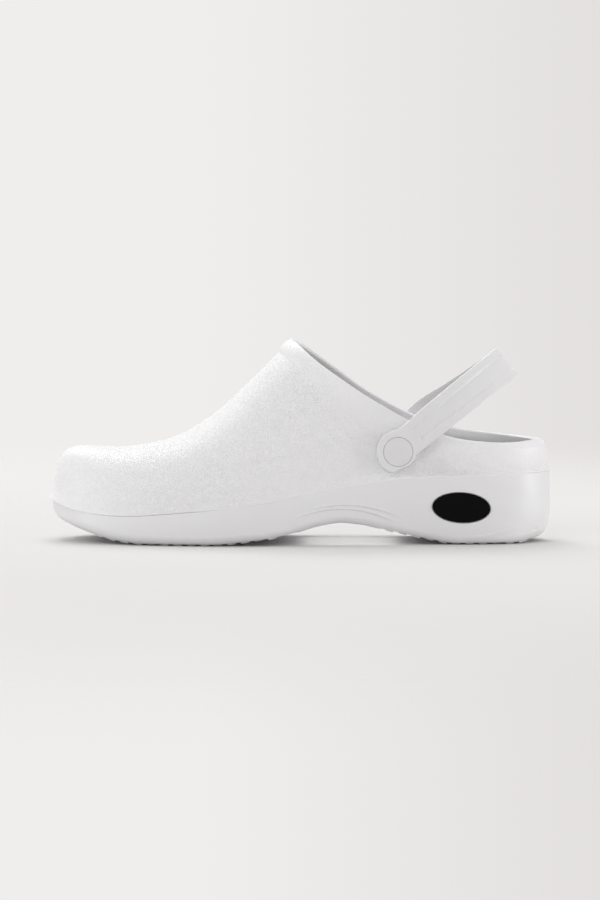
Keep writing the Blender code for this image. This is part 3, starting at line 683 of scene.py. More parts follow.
def crown_line(x):
    """Ridge of the upper over the toe and instep, carried on over the opening as a guide."""
    share = np.clip(x / (HALF - LIP), -1, 1)
    return part_way(junction(x), crown(x), end_curve(share, TOE_WALL, HEEL_WALL))


def upper_height(x, y):
    """Height of the upper's outer face over a plan point."""
    across = np.clip(np.abs(y - centre(x)) / np.maximum(half_width(x, LIP), TINY), 0, 1)
    bow = square(x) / MM
    arch = (1 - across ** bow) ** (1 / bow)
    return junction(x) + CLEAR + (crown_line(x) - junction(x)) * arch


def ease_table():
    """The table of shares along the opening's edge, with its corners rounded off."""
    share = np.linspace(0, 1, EASE_STEPS + 1)
    straight = np.interp(share, [row.outline for row in EASE], [row.edge for row in EASE])
    bell = np.hanning(2 * EASE_BLUR + 1)
    before = -straight[EASE_BLUR:0:-1]
    after = 2 - straight[-2:-2 - EASE_BLUR:-1]
    padded = np.concatenate([before, straight, after])
    return share, np.convolve(padded, bell / bell.sum(), mode="valid")


def collar_loop(count):
    """Edge of the opening on the upper's face, in the same columns as the outline."""
    xs = np.linspace(COLLAR_FROM, HALF - LIP, COLLAR_STEPS)
    open_outside = xs[crown_line(xs) >= outer_topline(xs)]
    open_inside = xs[crown_line(xs) >= inner_topline(xs)]
    angle = turn(count)
    eased = np.interp((1 - np.cos(angle)) / 2, *ease_table())
    side = outline_side(angle)
    front = np.where(side < 0, open_outside.min(), open_inside.min())
    x = part_way(front, open_inside.max(), eased)
    topline = np.where(side < 0, outer_topline(x), inner_topline(x))
    share = np.clip((topline - junction(x)) / (crown_line(x) - junction(x)), 0, 1)
    bow = square(x) / MM
    across = (1 - share ** bow) ** (1 / bow)
    return x, centre(x) + side * across * half_width(x, LIP)


def unit(vectors):
    return vectors / np.linalg.norm(vectors, axis=-1)[..., None]


def upper_face(count):
    """The face as a grid of rows from sole to collar, with each point's distance over the foot and
    its distance past the lower edge of the collar band."""
    foot_x, foot_y = outline(LIP, count)
    edge_x, edge_y = collar_loop(count)
    inward = (np.linspace(0, 1, FINE_STEPS) ** FINE_CROWDING)[:, None]
    x = part_way(foot_x, edge_x, inward)
    y = part_way(foot_y, edge_y, inward)
    fine = np.stack([x, y, upper_height(x, y)], axis=2)
    steps = np.linalg.norm(np.diff(fine, axis=0), axis=2)
    travel = np.concatenate([np.zeros((1, count)), np.cumsum(steps, axis=0)])
    length = travel[-1]
    along_edge = unit(np.roll(fine[-1], -1, axis=0) - np.roll(fine[-1], 1, axis=0))
    climb = unit(fine[-1] - fine[-EDGE_STEPS])
    slant = np.linalg.norm(np.cross(along_edge, climb), axis=1)
    heel = step_between(edge_x, BAND_HEEL_FROM, BAND_HEEL_TO)
    width = part_way(BAND_WIDTH, BAND_WIDTH_HEEL, heel)
    band = np.minimum(width / np.maximum(slant, BAND_SLANT_LEAST), BAND_MOST * length)
    bell = np.hanning(2 * BAND_BLUR + 3)[1:-1]
    around = np.concatenate([band[-BAND_BLUR:], band, band[:BAND_BLUR]])
    band = np.convolve(around, bell / bell.sum(), mode="valid")
    band_edge = length - band
    body = np.linspace(0, 1, BODY_ROWS + 1)[1:, None]
    collar = np.linspace(0, 1, BAND_ROWS + 1)[1:, None] ** BAND_CROWDING
    above = np.concatenate([
        np.broadcast_to(FOOT_ROWS[:, None], (len(FOOT_ROWS), count)),
        part_way(FOOT_ROWS[-1], band_edge, body),
        part_way(band_edge, length, collar),
    ])
    grid = np.empty((*above.shape, 3))
    for j in range(count):
        for axis in range(3):
            grid[:, j, axis] = np.interp(above[:, j], travel[:, j], fine[:, j, axis])
    return grid, above, above - band_edge


def outward(grid):
    """Unit normals of the upper's face, pointing away from the foot."""
    up = np.gradient(grid, axis=0)
    round_shoe = np.roll(grid, -1, axis=1) - np.roll(grid, 1, axis=1)
    return unit(np.cross(round_shoe, up))


def seat_plane(side):
    """Y of the flat that the strap's boss lies on. Side is -1 outside and 1 inside."""
    return float(centre(RIVET_X) + side * (half_width(RIVET_X, LIP) + SEAT_PROUD))


def flatten_seats(points, depth):
    """Pulls the wall round each rivet to its flat seat, at a depth inside the seat's plane."""
    away = np.hypot(points[..., 0] - RIVET_X, points[..., 2] - RIVET_Z)
    pull = step_between(away, SEAT_FLAT + SEAT_FADE, SEAT_FLAT)
    for side in (-1, 1):
        here = pull * (np.sign(points[..., 1] - centre(points[..., 0])) == side)
        target = seat_plane(side) - side * depth
        points[..., 1] += (target - points[..., 1]) * here
    return points


def collar_rim(outer, inner, climb, roll):
    """Rows over the collar's edge from the outer face to the inner one: flat with rounded corners,
    and behind the heel one round sweep down to the outer face."""
    middle, reach = (outer + inner) / 2, (outer - inner) / 2
    rows = []
    for angle in np.linspace(0, np.pi, RIM_ROWS + 2)[1:-1]:
        across = np.sign(math.cos(angle)) * abs(math.cos(angle)) ** RIM_SQUARE
        over = math.sin(angle) ** RIM_SQUARE
        flat = middle + across * reach + over * RIM_ROUND * climb
        sweep = math.sqrt(1 - ((1 + across) / 2) ** 2) - (1 - across) / 2
        rows.append(flat + climb * ROLL_DROP * sweep * roll)
    return rows


# Where the grain shows: over the foot, below the collar's edge and along the shoe, each fading in, and
# how much deeper it is in the zone behind the strap's boss, with that zone's start, end and fade
GRAIN_FOOT = (0, 0.8 * MM)
GRAIN_EDGE, GRAIN_EDGE_SHARE = (1.5 * MM, 20.0 * MM), 0.4
GRAIN_TOE, GRAIN_TOE_SHARE = (-140 * MM, -70 * MM), 0.5
GRAIN_BACK, GRAIN_BACK_ZONE = 0.6, (62 * MM, 100 * MM, 30 * MM)


def fade_in(value, limits, share):
    """Rises from a share at the first limit to 1 at the second."""
    return part_way(share, 1, step_between(value, *limits))


def grain_mask(face, above):
    foot = step_between(above, *GRAIN_FOOT)
    edge = fade_in(above[-1] - above, GRAIN_EDGE, GRAIN_EDGE_SHARE)
    toe = fade_in(face[..., 0], GRAIN_TOE, GRAIN_TOE_SHARE)
    back = 1 + GRAIN_BACK * window(face[..., 0], *GRAIN_BACK_ZONE)
    return foot * edge * toe * back


# Painted shade on the inside face, which darkens below the collar's edge where the opening lies in shade
INSIDE_SHADE_DEPTH = (0.5 * MM, 6.0 * MM)   # how the inside face darkens below the collar's edge


def point_layer(mesh, name, values):
    layer = mesh.attributes.new(name, "FLOAT", "POINT")
    layer.data.foreach_set("value", np.ravel(values))


def collar_band(face, past_band):
    """How far the band stands out, most at the instep peak."""
    front = np.exp(-((face[-1, :, 0] - COLLAR[0].x * MM) / BAND_FRONT_REACH) ** 2)
    share = np.clip(past_band / past_band[-1] / BAND_SPAN, 0, 1)
    return part_way(BAND_SIDE, BAND_FRONT, front) * (1 - np.abs(2 * share - 1) ** BAND_BOW)


def foot_flare(x, above):
    """How far the wall's foot flares out over the sole, in a shorter curve at both ends."""
    opened = seam_open(x)
    at_ends = toe_lip(x) / TOE_LIP + step_between(x, HEEL_TURN_FROM, HEEL_TURN_TO)
    reach = part_way(FLARE_HEIGHT, END_FLARE_HEIGHT, at_ends)
    foot = part_way(FLARE_WAIST, FLARE, opened) + toe_lip(x)
    return foot * np.clip(1 - above / reach, 0, 1) ** 2 - round_off(above, LIP_ROUND * opened)


def upper_mesh():
    """Outer face, rim of the collar and inner face, with layers for the grain and for the painted shade
    inside.
    """
    face, above, past_band = upper_face(COLUMNS)
    normal = outward(face)
    outer = face + normal * collar_band(face, past_band)[..., None]
    outer[..., :2] += unit(normal[..., :2]) * foot_flare(face[..., 0], above)[..., None]
    seam = part_way(SEAM_CLOSED, SEAM_GAP, seam_open(outer[0, :, 0]))
    outer[0, :, 2] = junction(outer[0, :, 0]) + seam
    inner = face - normal * WALL
    inner[0, :, 2] = junction(inner[0, :, 0]) + CLEAR
    outer = flatten_seats(outer, 0)
    inner = flatten_seats(inner, WALL)
    climb = unit(face[-1] - face[-2])
    roll = step_between(face[-1, :, 0], ROLL_FROM, ROLL_TO)[:, None]
    in_band = np.clip(past_band / BAND_WIDTH_HEEL, 0, 1)[..., None]
    outer -= climb * ROLL_DROP * roll * in_band ** 2
    inner -= normal * ROLL_THICK * roll * in_band
    rim = collar_rim(outer[-1], inner[-1], climb, roll)
    inside = [*range(len(inner) - 1, 0, -INNER_SKIP), 0]
    rings = [*outer, *rim, *inner[inside]]
    mesh = skin("upper_shell", rings, wrap=True)
    bare = np.zeros((len(rim), COLUMNS))
    deep = step_between(above[-1] - above[inside], *INSIDE_SHADE_DEPTH)
    point_layer(mesh, "grain", [*grain_mask(face, above), *bare, *deep])
    point_layer(mesh, "inside_shade", [*np.zeros_like(above), *bare, *deep])
    return mesh


# Grain cells are longer round the girth than along the shoe
GRAIN_CELLS = (1250, 640, 640)
GRAIN_WARP, GRAIN_WARP_SCALE = 0.5, 0.8
GRAIN_VALLEY = 0.3
GRAIN_DEPTH = 0.17 * MM
WRINKLE_SCALE, WRINKLE_DETAIL = 1.6, 1.0
UPPER_WHITE, UPPER_ROUGHNESS = 0.85, 0.46
BARE_GLOSS = 0.36
# Painted shade inside: the white it darkens to, and the size and spread of its blotches
INSIDE_SHADE_WHITE = 0.6
INSIDE_SHADE_PATCHES, INSIDE_SHADE_BLOTCH = 380, (0.7, 1.0)


def leather_grain(finish):
    """Height of the grain: small pillows parted by narrow valleys, with finer wrinkles on them."""
    tree = finish.node_tree
    where = in_space(finish, GRAIN_CELLS)
    warp = shader_node(tree, "ShaderNodeTexNoise", {"Vector": where, "Scale": GRAIN_WARP_SCALE})
    moved = {0: warp.outputs["Color"], 1: (GRAIN_WARP,) * 3, 2: where}
    shift = shader_node(tree, "ShaderNodeVectorMath", moved, operation="MULTIPLY_ADD")
    inputs = {"Vector": shift.outputs["Vector"], "Scale": 1.0}
    cells = shader_node(tree, "ShaderNodeTexVoronoi", inputs, feature="DISTANCE_TO_EDGE")
    pillow = map_range(tree, cells.outputs["Distance"], (0, GRAIN_VALLEY), (0, 1), "SMOOTHSTEP")
    inputs = {"Vector": where, "Scale": WRINKLE_SCALE, "Detail": WRINKLE_DETAIL}
    wrinkle = shader_node(tree, "ShaderNodeTexNoise", inputs)
    both = shader_node(tree, "ShaderNodeMath", {0: pillow, 1: wrinkle.outputs["Fac"]}, operation="ADD")
    return times_layer(finish, both.outputs["Value"], "grain")


def mesh_layer(finish, layer):
    """A layer of values that the mesh carries."""
    return shader_node(finish.node_tree, "ShaderNodeAttribute", {}, attribute_name=layer).outputs["Fac"]


def times_layer(finish, source, layer):
    inputs = {0: source, 1: mesh_layer(finish, layer)}
    return shader_node(finish.node_tree, "ShaderNodeMath", inputs, operation="MULTIPLY").outputs["Value"]


def paint_inside_shade(finish, shader, white):
    """Paints shade on the inside face in soft blotches, darker below the collar's edge, over the colour
    that the shader has already.
    """
    tree = finish.node_tree
    blotch = map_range(tree, noise(finish, INSIDE_SHADE_PATCHES), NOISE_RANGE, INSIDE_SHADE_BLOTCH)
    foam = shader.inputs["Base Color"].links[0].from_socket
    mixed = colour_mix(tree, times_layer(finish, blotch, "inside_shade"), foam, (*foam_colour(white), 1))
    tree.links.new(mixed, shader.inputs["Base Color"])


def gloss_bare(finish, shader, gloss):
    """Lowers the roughness towards a glossier value where the foam carries no grain."""
    tree = finish.node_tree
    foam = shader.inputs["Roughness"].links[0].from_socket
    inputs = {"Factor": mesh_layer(finish, "grain"), "A": gloss, "B": foam}
    mix = shader_node(tree, "ShaderNodeMix", inputs)
    tree.links.new(mix.outputs["Result"], shader.inputs["Roughness"])


upper_finish, upper_shader = moulded_foam("white_grained_foam", UPPER_WHITE, UPPER_ROUGHNESS)
emboss(upper_finish, upper_shader, leather_grain(upper_finish), GRAIN_DEPTH)
gloss_bare(upper_finish, upper_shader, BARE_GLOSS)
# Painted shade on the inside face below the collar's edge
paint_inside_shade(upper_finish, upper_shader, INSIDE_SHADE_WHITE)
upper = place("upper_shell", upper_mesh(), upper_finish)
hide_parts("upper")


# Heel strap
# A band of white foam that is swung up over the collar. Each end is a round boss, and a shallow
# panel between raised borders runs along its outer face, starting in an arc round the boss.

STRAP_TILT = math.radians(38.4)
STRAP_REACH, STRAP_STRAIGHT = 81.2 * MM, 25.0 * MM
STRAP_THICK = 4.2 * MM
STRAP_HALF_WIDTH, STRAP_BACK_HALF_WIDTH = 9.25 * MM, 10.0 * MM
STRAP_LIFT = 1.65 * MM
NECK_DIP, NECK_AT, NECK_REACH = 1.0 * MM, 12.0 * MM, 8.0 * MM
STRAP_EDGE, STRAP_EDGE_MOST = 0.8 * MM, 0.4   # rounded edge, at most this share of the half width
STRAP_BORDER, STRAP_FILLET = 4.0 * MM, 1.7 * MM
STRAP_RECESS, STRAP_RECESS_BACK = 0.6 * MM, 0.35 * MM
# Groove along the panel's border, and the mark of the mould's pin
GROOVE_IN, GROOVE_REACH, GROOVE_DEPTH = 1.4 * MM, 0.8 * MM, 0.2 * MM
PIT_ALONG, PIT_ACROSS, PIT_RADIUS, PIT_DEPTH = 16.0 * MM, -3.0 * MM, 0.7 * MM, 0.7 * MM
BOSS_RADIUS = 12.25 * MM
BOSS_UNDER, BOSS_SLOPE = 10.0 * MM, 0.25   # reach of the boss below its rivet, less towards its end
PANEL_ARC = 14.2 * MM
# How far the soft strap hangs below its own plane on the inner side, in millimetres along it
Hang = namedtuple("Hang", "along drop")
HANGS = [
    Hang(0, 0), Hang(12, -0.8), Hang(26, -0.9), Hang(34, -0.3), Hang(42, 1.0), Hang(50, 1.7),
    Hang(57, 2.4), Hang(65, 2.8), Hang(81, 4.2),
]
BOSS_CUTS, NECK_CUTS, BEND_CUTS = 30, 46, 121
BOSS_TIP = 2                    # degrees from the boss's very end to its first cut
FACE_CUTS, BACK_CUTS, EDGE_CUTS = 64, 14, 5
RIVET_HEAD_RADIUS, RIVET_HEAD_THICK = 8.3 * MM, 1.8 * MM
RIVET_SHAFT_RADIUS = 3.4 * MM
BORE_GAP, BORE_EDGE, BORE_PAST = 0.12 * MM, 0.12 * MM, 3 * MM
TURNED_STEPS, TURNED_MERGE = 96, 0.01 * MM
# The strap's foam has a greyer white than the upper's, though it is the same white foam: painted shade
STRAP_SHADED_WHITE, STRAP_ROUGHNESS = 0.745, 0.44


def strap_path():
    """Stations along the strap's middle: distance past the rivet, y, and the outward normal."""
    near = seat_plane(-1) - CLEAR - STRAP_THICK / 2
    far = seat_plane(1) + CLEAR + STRAP_THICK / 2
    middle, spread_out = (near + far) / 2, (far - near) / 2
    boss = -BOSS_RADIUS * np.cos(np.radians(np.linspace(BOSS_TIP, 90, BOSS_CUTS)))
    neck = np.linspace(0, STRAP_STRAIGHT, NECK_CUTS)[1:-1]
    lead = np.concatenate([boss, neck])
    sweep = np.radians(np.linspace(-90, 90, BEND_CUTS))
    bend = STRAP_REACH - STRAP_THICK / 2 - STRAP_STRAIGHT
    along = np.concatenate([lead, STRAP_STRAIGHT + bend * np.cos(sweep), lead[::-1]])
    across = np.concatenate([np.full(len(lead), -spread_out), spread_out * np.sin(sweep),
                             np.full(len(lead), spread_out)])
    out_along = np.concatenate([0 * lead, np.cos(sweep) / bend, 0 * lead])
    out_across = np.concatenate([0 * lead - 1, np.sin(sweep) / spread_out, 0 * lead + 1])
    size = np.hypot(out_along, out_across)
    return along, middle + across, out_along / size, out_across / size


def strap_width(along):
    """Half width of the strap, and how far its middle lies above the line through the rivets."""
    inside = math.sqrt(max(BOSS_RADIUS ** 2 - along ** 2, 0))
    if along <= 0:
        below = min(inside, BOSS_UNDER + BOSS_SLOPE * along)
        return (inside + below) / 2, (inside - below) / 2
    under = math.sqrt(max(BOSS_UNDER ** 2 - along ** 2, 0))
    band = part_way(STRAP_HALF_WIDTH, STRAP_BACK_HALF_WIDTH, (along / STRAP_REACH) ** 2)
    dip = NECK_DIP * math.exp(-((along - NECK_AT) / NECK_REACH) ** 2)
    above = max(inside, band + STRAP_LIFT - dip)
    below = max(under, band - STRAP_LIFT)
    return (above + below) / 2, (above - below) / 2


hang = fair_line([row.along for row in HANGS], [row.drop for row in HANGS], 3.0)


def strap_skew(along, y):
    """How far the strap hangs below its own plane: nothing outside, most on the inner side."""
    return float(hang(along)) * (y - seat_plane(-1)) / (seat_plane(1) - seat_plane(-1))


def strap_panel(along, across, from_edge):
    """How far the outer face is sunk: inside the borders and beyond the arc round the boss."""
    inside = np.minimum(from_edge - STRAP_BORDER, np.hypot(along, across) - PANEL_ARC)
    back = step_between(along, STRAP_REACH / 2, STRAP_REACH)
    depth = part_way(STRAP_RECESS, STRAP_RECESS_BACK, back)
    groove = GROOVE_DEPTH * np.exp(-((inside - GROOVE_IN) / GROOVE_REACH) ** 2)
    pit = PIT_DEPTH * np.exp(-(np.hypot(along - PIT_ALONG, across - PIT_ACROSS) / PIT_RADIUS) ** 2)
    return (depth * step_between(inside, 0, STRAP_FILLET) + groove + pit) * (along > 0)


def strap_section(along):
    """Offsets across the strap and out of it, round the section from its lower edge."""
    half, middle = strap_width(along)
    skin_depth = STRAP_THICK / 2
    edge = min(STRAP_EDGE, STRAP_EDGE_MOST * half)
    face = np.linspace(-(half - edge), half - edge, FACE_CUTS)
    sunk = strap_panel(along, middle + face, half - np.abs(face))
    back = np.linspace(half - edge, -(half - edge), BACK_CUTS)
    bend = np.radians(np.linspace(90, 0, EDGE_CUTS + 1))[1:]
    reach, rise = half - edge + edge * np.cos(bend), skin_depth - edge + edge * np.sin(bend)
    across = np.concatenate([face, reach, reach[::-1], back, -reach, -reach[::-1]])
    out = np.concatenate([skin_depth - sunk, rise, -rise[::-1], np.full(BACK_CUTS, -skin_depth),
                          -rise, rise[::-1]])
    keep = np.ones(len(across), bool)
    keep[[FACE_CUTS + 2 * EDGE_CUTS, FACE_CUTS + 2 * EDGE_CUTS + BACK_CUTS - 1]] = False
    return middle + across[keep], out[keep]


def strap_mesh():
    rings = []
    for along, y, out_along, out_across in zip(*strap_path()):
        across, out = strap_section(along)
        across = across - strap_skew(along, y)
        run = along + out * out_along
        x = RIVET_X + run * math.cos(STRAP_TILT) - across * math.sin(STRAP_TILT)
        z = RIVET_Z + run * math.sin(STRAP_TILT) + across * math.cos(STRAP_TILT)
        rings.append(np.stack([x, y + out * out_across, z], axis=1))
    faces = capped_faces(0, len(rings), len(rings[0]))
    return closed_mesh("heel_strap_band", np.concatenate(rings), faces)


def turned_mesh(name, profile):
    """A mesh turned about Z from a profile of radius and height, from its top to its bottom."""
    line = bpy.data.meshes.new(name)
    points = [(radius, 0, height) for radius, height in profile]
    line.from_pydata(points, [(i, i + 1) for i in range(len(points) - 1)], [])
    blank = put(name, line)
    spin = blank.modifiers.new("turn", "SCREW")
    spin.steps = TURNED_STEPS
    spin.render_steps = TURNED_STEPS
    spin.use_merge_vertices = True
    spin.merge_threshold = TURNED_MERGE
    graph = bpy.context.evaluated_depsgraph_get()
    mesh = bpy.data.meshes.new_from_object(blank.evaluated_get(graph))
    bpy.data.objects.remove(blank)
    face_outwards(mesh)
    return mesh


def set_on_seat(item, side):
    """Lays a piece turned about Z on the strap's seat, its top facing away from the foot."""
    item.location = (RIVET_X, seat_plane(side), RIVET_Z)
    item.rotation_euler = (-side * math.pi / 2, 0, 0)


def carve(item, cutter):
    """Cuts the cutter out of a piece for good and throws the cutter away."""
    change = item.modifiers.new("carve", "BOOLEAN")
    change.object = cutter
    change.solver = "EXACT"
    bpy.context.view_layer.update()
    graph = bpy.context.evaluated_depsgraph_get()
    carved = bpy.data.meshes.new_from_object(item.evaluated_get(graph))
    item.modifiers.clear()
    item.data = carved
    bpy.data.objects.remove(cutter)
    carved.set_sharp_from_angle(angle=math.radians(SHARP))


def rivet_bore(side):
    """Cutter for the rivet's shaft and for its head, with a softened mouth."""
    face = CLEAR + STRAP_THICK
    head = RIVET_HEAD_RADIUS + BORE_GAP
    shaft = RIVET_SHAFT_RADIUS + CLEAR
    ledge = face - RIVET_HEAD_THICK - CLEAR
    mouth = head + BORE_EDGE
    above = face + BORE_PAST
    profile = [(0, above), (mouth + BORE_PAST, above), (mouth, face), (head, face - BORE_EDGE),
               (head, ledge), (shaft, ledge), (shaft, -BORE_PAST), (0, -BORE_PAST)]
    mesh = turned_mesh("rivet_bore", profile)
    mesh.shade_smooth()
    bore = put("rivet_bore", mesh)
    set_on_seat(bore, side)
    return bore


# Strap foam with its white lowered as painted shade
strap_finish, _ = moulded_foam("white_strap_foam", STRAP_SHADED_WHITE, STRAP_ROUGHNESS)
strap = place("heel_strap_band", strap_mesh(), strap_finish)
for side in (-1, 1):
    carve(strap, rivet_bore(side))
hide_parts("heel_strap")


# Rivets
# Two white plastic snap rivets, one on each side, hold the strap so that it can swing. The head
# lies flush in the boss with a fine ring of clearance, and a flange closes the inside of the wall.

RIVET_DOME, RIVET_ROUND = 0.3 * MM, 0.35 * MM
RIVET_FLANGE_RADIUS, RIVET_FLANGE_THICK = 6.5 * MM, 1.6 * MM
RIVET_FACE_STEPS, RIVET_EDGE_STEPS = 8, 5
RIVET_WHITE, RIVET_SHADE = foam_colour(0.72), foam_colour(0.7)
RIVET_ROUGHNESS, RIVET_DRIFT_PATCHES = 0.36, 200
RIVET_PEEL = Peel(900, 2.0, 0.012 * MM)


def rounded_disc(radius, top, low, dome):
    """Profile of a disc with a domed face and rounded edges, down to its flat back."""
    profile = []
    for share in np.linspace(0, 1, RIVET_FACE_STEPS)[:-1]:
        profile.append((share * (radius - RIVET_ROUND), top + dome * (1 - share ** 2)))
    for angle in np.radians(np.linspace(90, 0, RIVET_EDGE_STEPS)):
        profile.append((radius - RIVET_ROUND + RIVET_ROUND * math.cos(angle),
                        top - RIVET_ROUND + RIVET_ROUND * math.sin(angle)))
    profile += [(radius, low), (0, low)]
    return profile


rivet_finish, rivet_shader = new_finish("white_rivet_plastic", RIVET_WHITE, RIVET_ROUGHNESS)
tint(rivet_finish, rivet_shader, noise(rivet_finish, RIVET_DRIFT_PATCHES), RIVET_WHITE, RIVET_SHADE)
mould_skin(rivet_finish, rivet_shader, RIVET_PEEL)
rivet_face = CLEAR + STRAP_THICK
head_profile = rounded_disc(RIVET_HEAD_RADIUS, rivet_face, rivet_face - RIVET_HEAD_THICK, RIVET_DOME)
flange_profile = rounded_disc(RIVET_FLANGE_RADIUS, RIVET_FLANGE_THICK, 0, 0)
for name, side in (("outer", -1), ("inner", 1)):
    head_mesh = turned_mesh("rivet_head", head_profile)
    head = place(f"rivet_head_{name}", head_mesh, rivet_finish)
    set_on_seat(head, side)
    flange_mesh = turned_mesh("rivet_flange", flange_profile)
    flange = place(f"rivet_flange_{name}", flange_mesh, rivet_finish)
    flange.location = (RIVET_X, seat_plane(side) - side * (WALL + CLEAR), RIVET_Z)
    flange.rotation_euler = (side * math.pi / 2, 0, 0)
    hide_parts(f"rivet_{name}")


# Badge
# A plain black oval plate of gloss plastic with a rounded edge. It is pressed into a shallow oval
# seat in the outer side of the heel.

BADGE_X, BADGE_Z = 91.8 * MM, 21.3 * MM
BADGE_RADII = (16.4 * MM, 8.45 * MM)
BADGE_TILT = math.radians(-3.3)
BADGE_PROUD, BADGE_DEPTH = 0.5 * MM, 1.2 * MM
BADGE_ROUND, BADGE_DOME = 0.45 * MM, 0.2 * MM
BADGE_STEPS, BADGE_EDGE_STEPS = 96, 6
BADGE_FACE_SHARES, BADGE_BACK_SHARES = (0.05, 0.25, 0.45, 0.65, 0.8, 0.92), (1, 0.6, 0.2)
BADGE_MOUTH, BADGE_PAST, SEAT_CAP_SHARE = 0.3 * MM, 2 * MM, 0.3   # of the cutter for its seat
BADGE_BLACK = (0.002, 0.002, 0.0021)
BADGE_ROUGHNESS, BADGE_SPECULAR = 0.25, 0.06
BADGE_PEEL = Peel(700, 2.0, 0.008 * MM)


def sole_side_y(x, z):
    """Y of the sole's outer side at a point of the side view."""
    low = base_height(x)
    share = (z - low) / (junction(x) - low)
    return centre(x) - half_width(x, side_inset(share))


def oval_ring(radii, out):
    """Oval ring at a distance out of the sole's side."""
    angle = np.arange(BADGE_STEPS) * 2 * np.pi / BADGE_STEPS
    along, above = radii[0] * np.cos(angle), radii[1] * np.sin(angle)
    x = BADGE_X + along * math.cos(BADGE_TILT) - above * math.sin(BADGE_TILT)
    z = BADGE_Z + along * math.sin(BADGE_TILT) + above * math.cos(BADGE_TILT)
    return np.stack([x, sole_side_y(x, z) - out, z], axis=1)


def shrunk(share, inset=0):
    return [share * (radius - inset) for radius in BADGE_RADII]


def badge_rings():
    """Rings from the middle of its face, round the edge and over its back."""
    rings = []
    for share in BADGE_FACE_SHARES:
        out = BADGE_PROUD + BADGE_DOME * (1 - share ** 2)
        rings.append(oval_ring(shrunk(share, BADGE_ROUND), out))
    for angle in np.radians(np.linspace(90, 0, BADGE_EDGE_STEPS)):
        inset = BADGE_ROUND * (1 - math.cos(angle))
        rings.append(oval_ring(shrunk(1, inset), BADGE_PROUD - BADGE_ROUND * (1 - math.sin(angle))))
    for share in BADGE_BACK_SHARES:
        rings.append(oval_ring(shrunk(share), -BADGE_DEPTH))
    return rings


def badge_seat():
    """Cutter for the seat, with a softened mouth."""
    mouth, deep = CLEAR + BADGE_MOUTH, -BADGE_DEPTH - CLEAR
    levels = [(mouth + BADGE_PAST, BADGE_PAST), (mouth, 0), (CLEAR, -BADGE_MOUTH), (CLEAR, deep)]
    rings = [oval_ring(shrunk(SEAT_CAP_SHARE), BADGE_PAST)]
    rings += [oval_ring(shrunk(1, -wider), out) for wider, out in levels]
    rings.append(oval_ring(shrunk(SEAT_CAP_SHARE), deep))
    mesh = skin("badge_seat", rings)
    mesh.shade_smooth()
    return put("badge_seat", mesh)


carve(sole, badge_seat())
badge_finish, badge_shader = new_finish("black_badge_plastic", BADGE_BLACK, BADGE_ROUGHNESS)
badge_shader.inputs["Specular IOR Level"].default_value = BADGE_SPECULAR
mould_skin(badge_finish, badge_shader, BADGE_PEEL)
badge = place("badge_plate", skin("badge_plate", badge_rings()), badge_finish)
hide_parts("badge")


# Studio
# A plain pale floor that fades out into a pale surround. Soft light comes from above, from behind, from
# the front and from both ends, with a small light under the arch, and a long lens looks level at the
# shoe's outer side.

FLOOR_REACH, FLOOR_SEGMENTS = 6.0, 96
FLOOR_FADE = (0.3, 1.1)
FLOOR_ROUGHNESS = 0.6
FLOOR_PALE = (0.735, 0.729, 0.723)
SURROUND_LEFT = (0.87, 0.855, 0.845)
SURROUND_RIGHT = (0.75, 0.73, 0.72)
SURROUND_TURN = (-0.02, 0.075)
SURROUND_RISE = (0.15, 0.55)     # between these heights of view the surround dims towards the zenith
SURROUND_ZENITH = 0.68
CAMERA_LENS, CAMERA_SENSOR = 200, 36
CAMERA_DISTANCE, CAMERA_RISE = 2.88, math.radians(3.2)
CAMERA_AIM = 0.052

Light = namedtuple("Light", "name at aim size power")
LIGHTS = [
    Light("overhead", (-0.4, 0.9, 4.0), (0, 0, 0), (4.0, 2.4), 52.0),
    Light("behind", (-0.5, 2.0, 2.1), (0, 0, 0), (1.6, 1.2), 26.0),
    Light("front", (-1.0, -2.6, 1.9), (0, 0, 0.05), (2.0, 1.4), 17.0),
    Light("toe_side", (-1.3, -0.3, 0.13), (-0.1, 0, 0.05), (0.5, 0.2), 1.6),
    Light("heel_side", (1.3, -0.2, 0.13), (0.1, 0, 0.04), (0.5, 0.2), 4.2),
    Light("under_arch", (0.0285, -0.0075, 0.0062), (0.0285, -0.0075, 0), (0.055, 0.062), 0.0056),
]


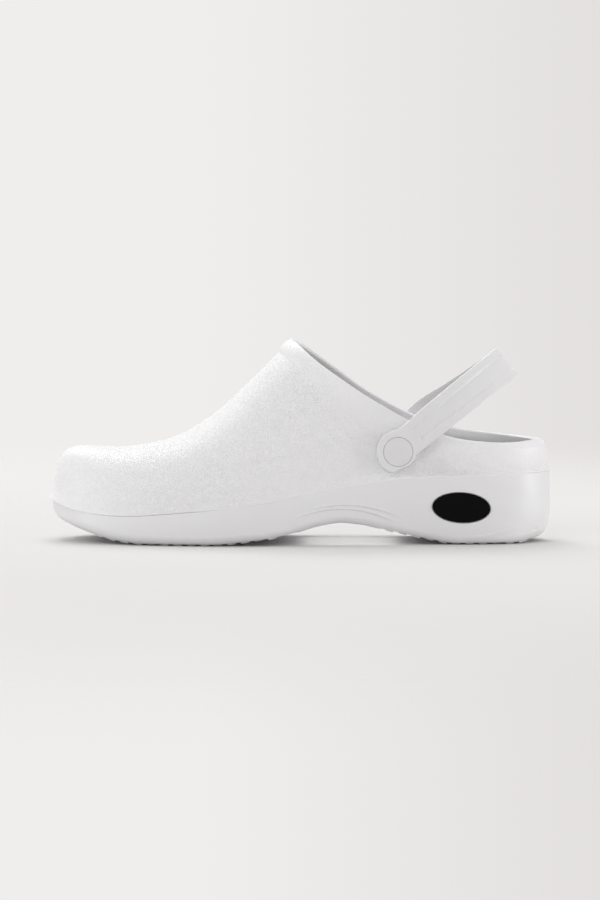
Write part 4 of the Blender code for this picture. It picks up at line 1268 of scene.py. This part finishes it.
def pale_floor():
    disc = bmesh.new()
    bmesh.ops.create_circle(disc, cap_ends=True, radius=FLOOR_REACH, segments=FLOOR_SEGMENTS)
    mesh = bpy.data.meshes.new("floor")
    disc.to_mesh(mesh)
    disc.free()
    item = put("floor", mesh)
    finish, shader = new_finish("pale_floor", FLOOR_PALE, FLOOR_ROUGHNESS)
    shader.inputs["Specular IOR Level"].default_value = 0.0
    tree = finish.node_tree
    away = shader_node(tree, "ShaderNodeVectorMath", {0: in_space(finish, (1, 1, 1))}, operation="LENGTH")
    fade = map_range(tree, away.outputs["Value"], FLOOR_FADE, (0, 1), "SMOOTHSTEP")
    clear = shader_node(tree, "ShaderNodeBsdfTransparent", {})
    inputs = {"Fac": fade, 1: shader.outputs["BSDF"], 2: clear.outputs["BSDF"]}
    mix = shader_node(tree, "ShaderNodeMixShader", inputs)
    tree.links.new(mix.outputs["Shader"], tree.nodes["Material Output"].inputs["Surface"])
    mesh.materials.append(finish)


def pale_surround():
    """Pale all round at eye level, a little more on the toe's side, and dimmer overhead."""
    world = bpy.data.worlds.new("surround")
    world.use_nodes = True
    tree = world.node_tree
    where = shader_node(tree, "ShaderNodeTexCoord", {}).outputs["Generated"]
    parts = shader_node(tree, "ShaderNodeSeparateXYZ", {"Vector": where})
    turned = map_range(tree, parts.outputs["X"], SURROUND_TURN, (0, 1))
    mixed = colour_mix(tree, turned, (*SURROUND_LEFT, 1), (*SURROUND_RIGHT, 1))
    tree.links.new(mixed, tree.nodes["Background"].inputs["Color"])
    dim = map_range(tree, parts.outputs["Z"], SURROUND_RISE, (1, SURROUND_ZENITH), "SMOOTHSTEP")
    tree.links.new(dim, tree.nodes["Background"].inputs["Strength"])
    bpy.context.scene.world = world


def soft_light(light):
    lamp = bpy.data.lights.new(light.name, "AREA")
    lamp.shape = "RECTANGLE"
    lamp.size, lamp.size_y = light.size
    lamp.energy = light.power
    item = put(light.name, lamp)
    item.location = light.at
    aim = Vector(light.aim) - Vector(light.at)
    item.rotation_euler = aim.to_track_quat("-Z", "Y").to_euler()


def long_lens():
    lens = bpy.data.cameras.new("camera")
    lens.lens = CAMERA_LENS
    lens.sensor_width = CAMERA_SENSOR
    item = put("camera", lens)
    item.location = (0, -CAMERA_DISTANCE * math.cos(CAMERA_RISE),
                     CAMERA_AIM + CAMERA_DISTANCE * math.sin(CAMERA_RISE))
    item.rotation_euler = (math.pi / 2 - CAMERA_RISE, 0, 0)
    bpy.context.scene.camera = item


pale_floor()
pale_surround()
for light in LIGHTS:
    soft_light(light)
long_lens()
bpy.context.scene.view_settings.view_transform = "Standard"
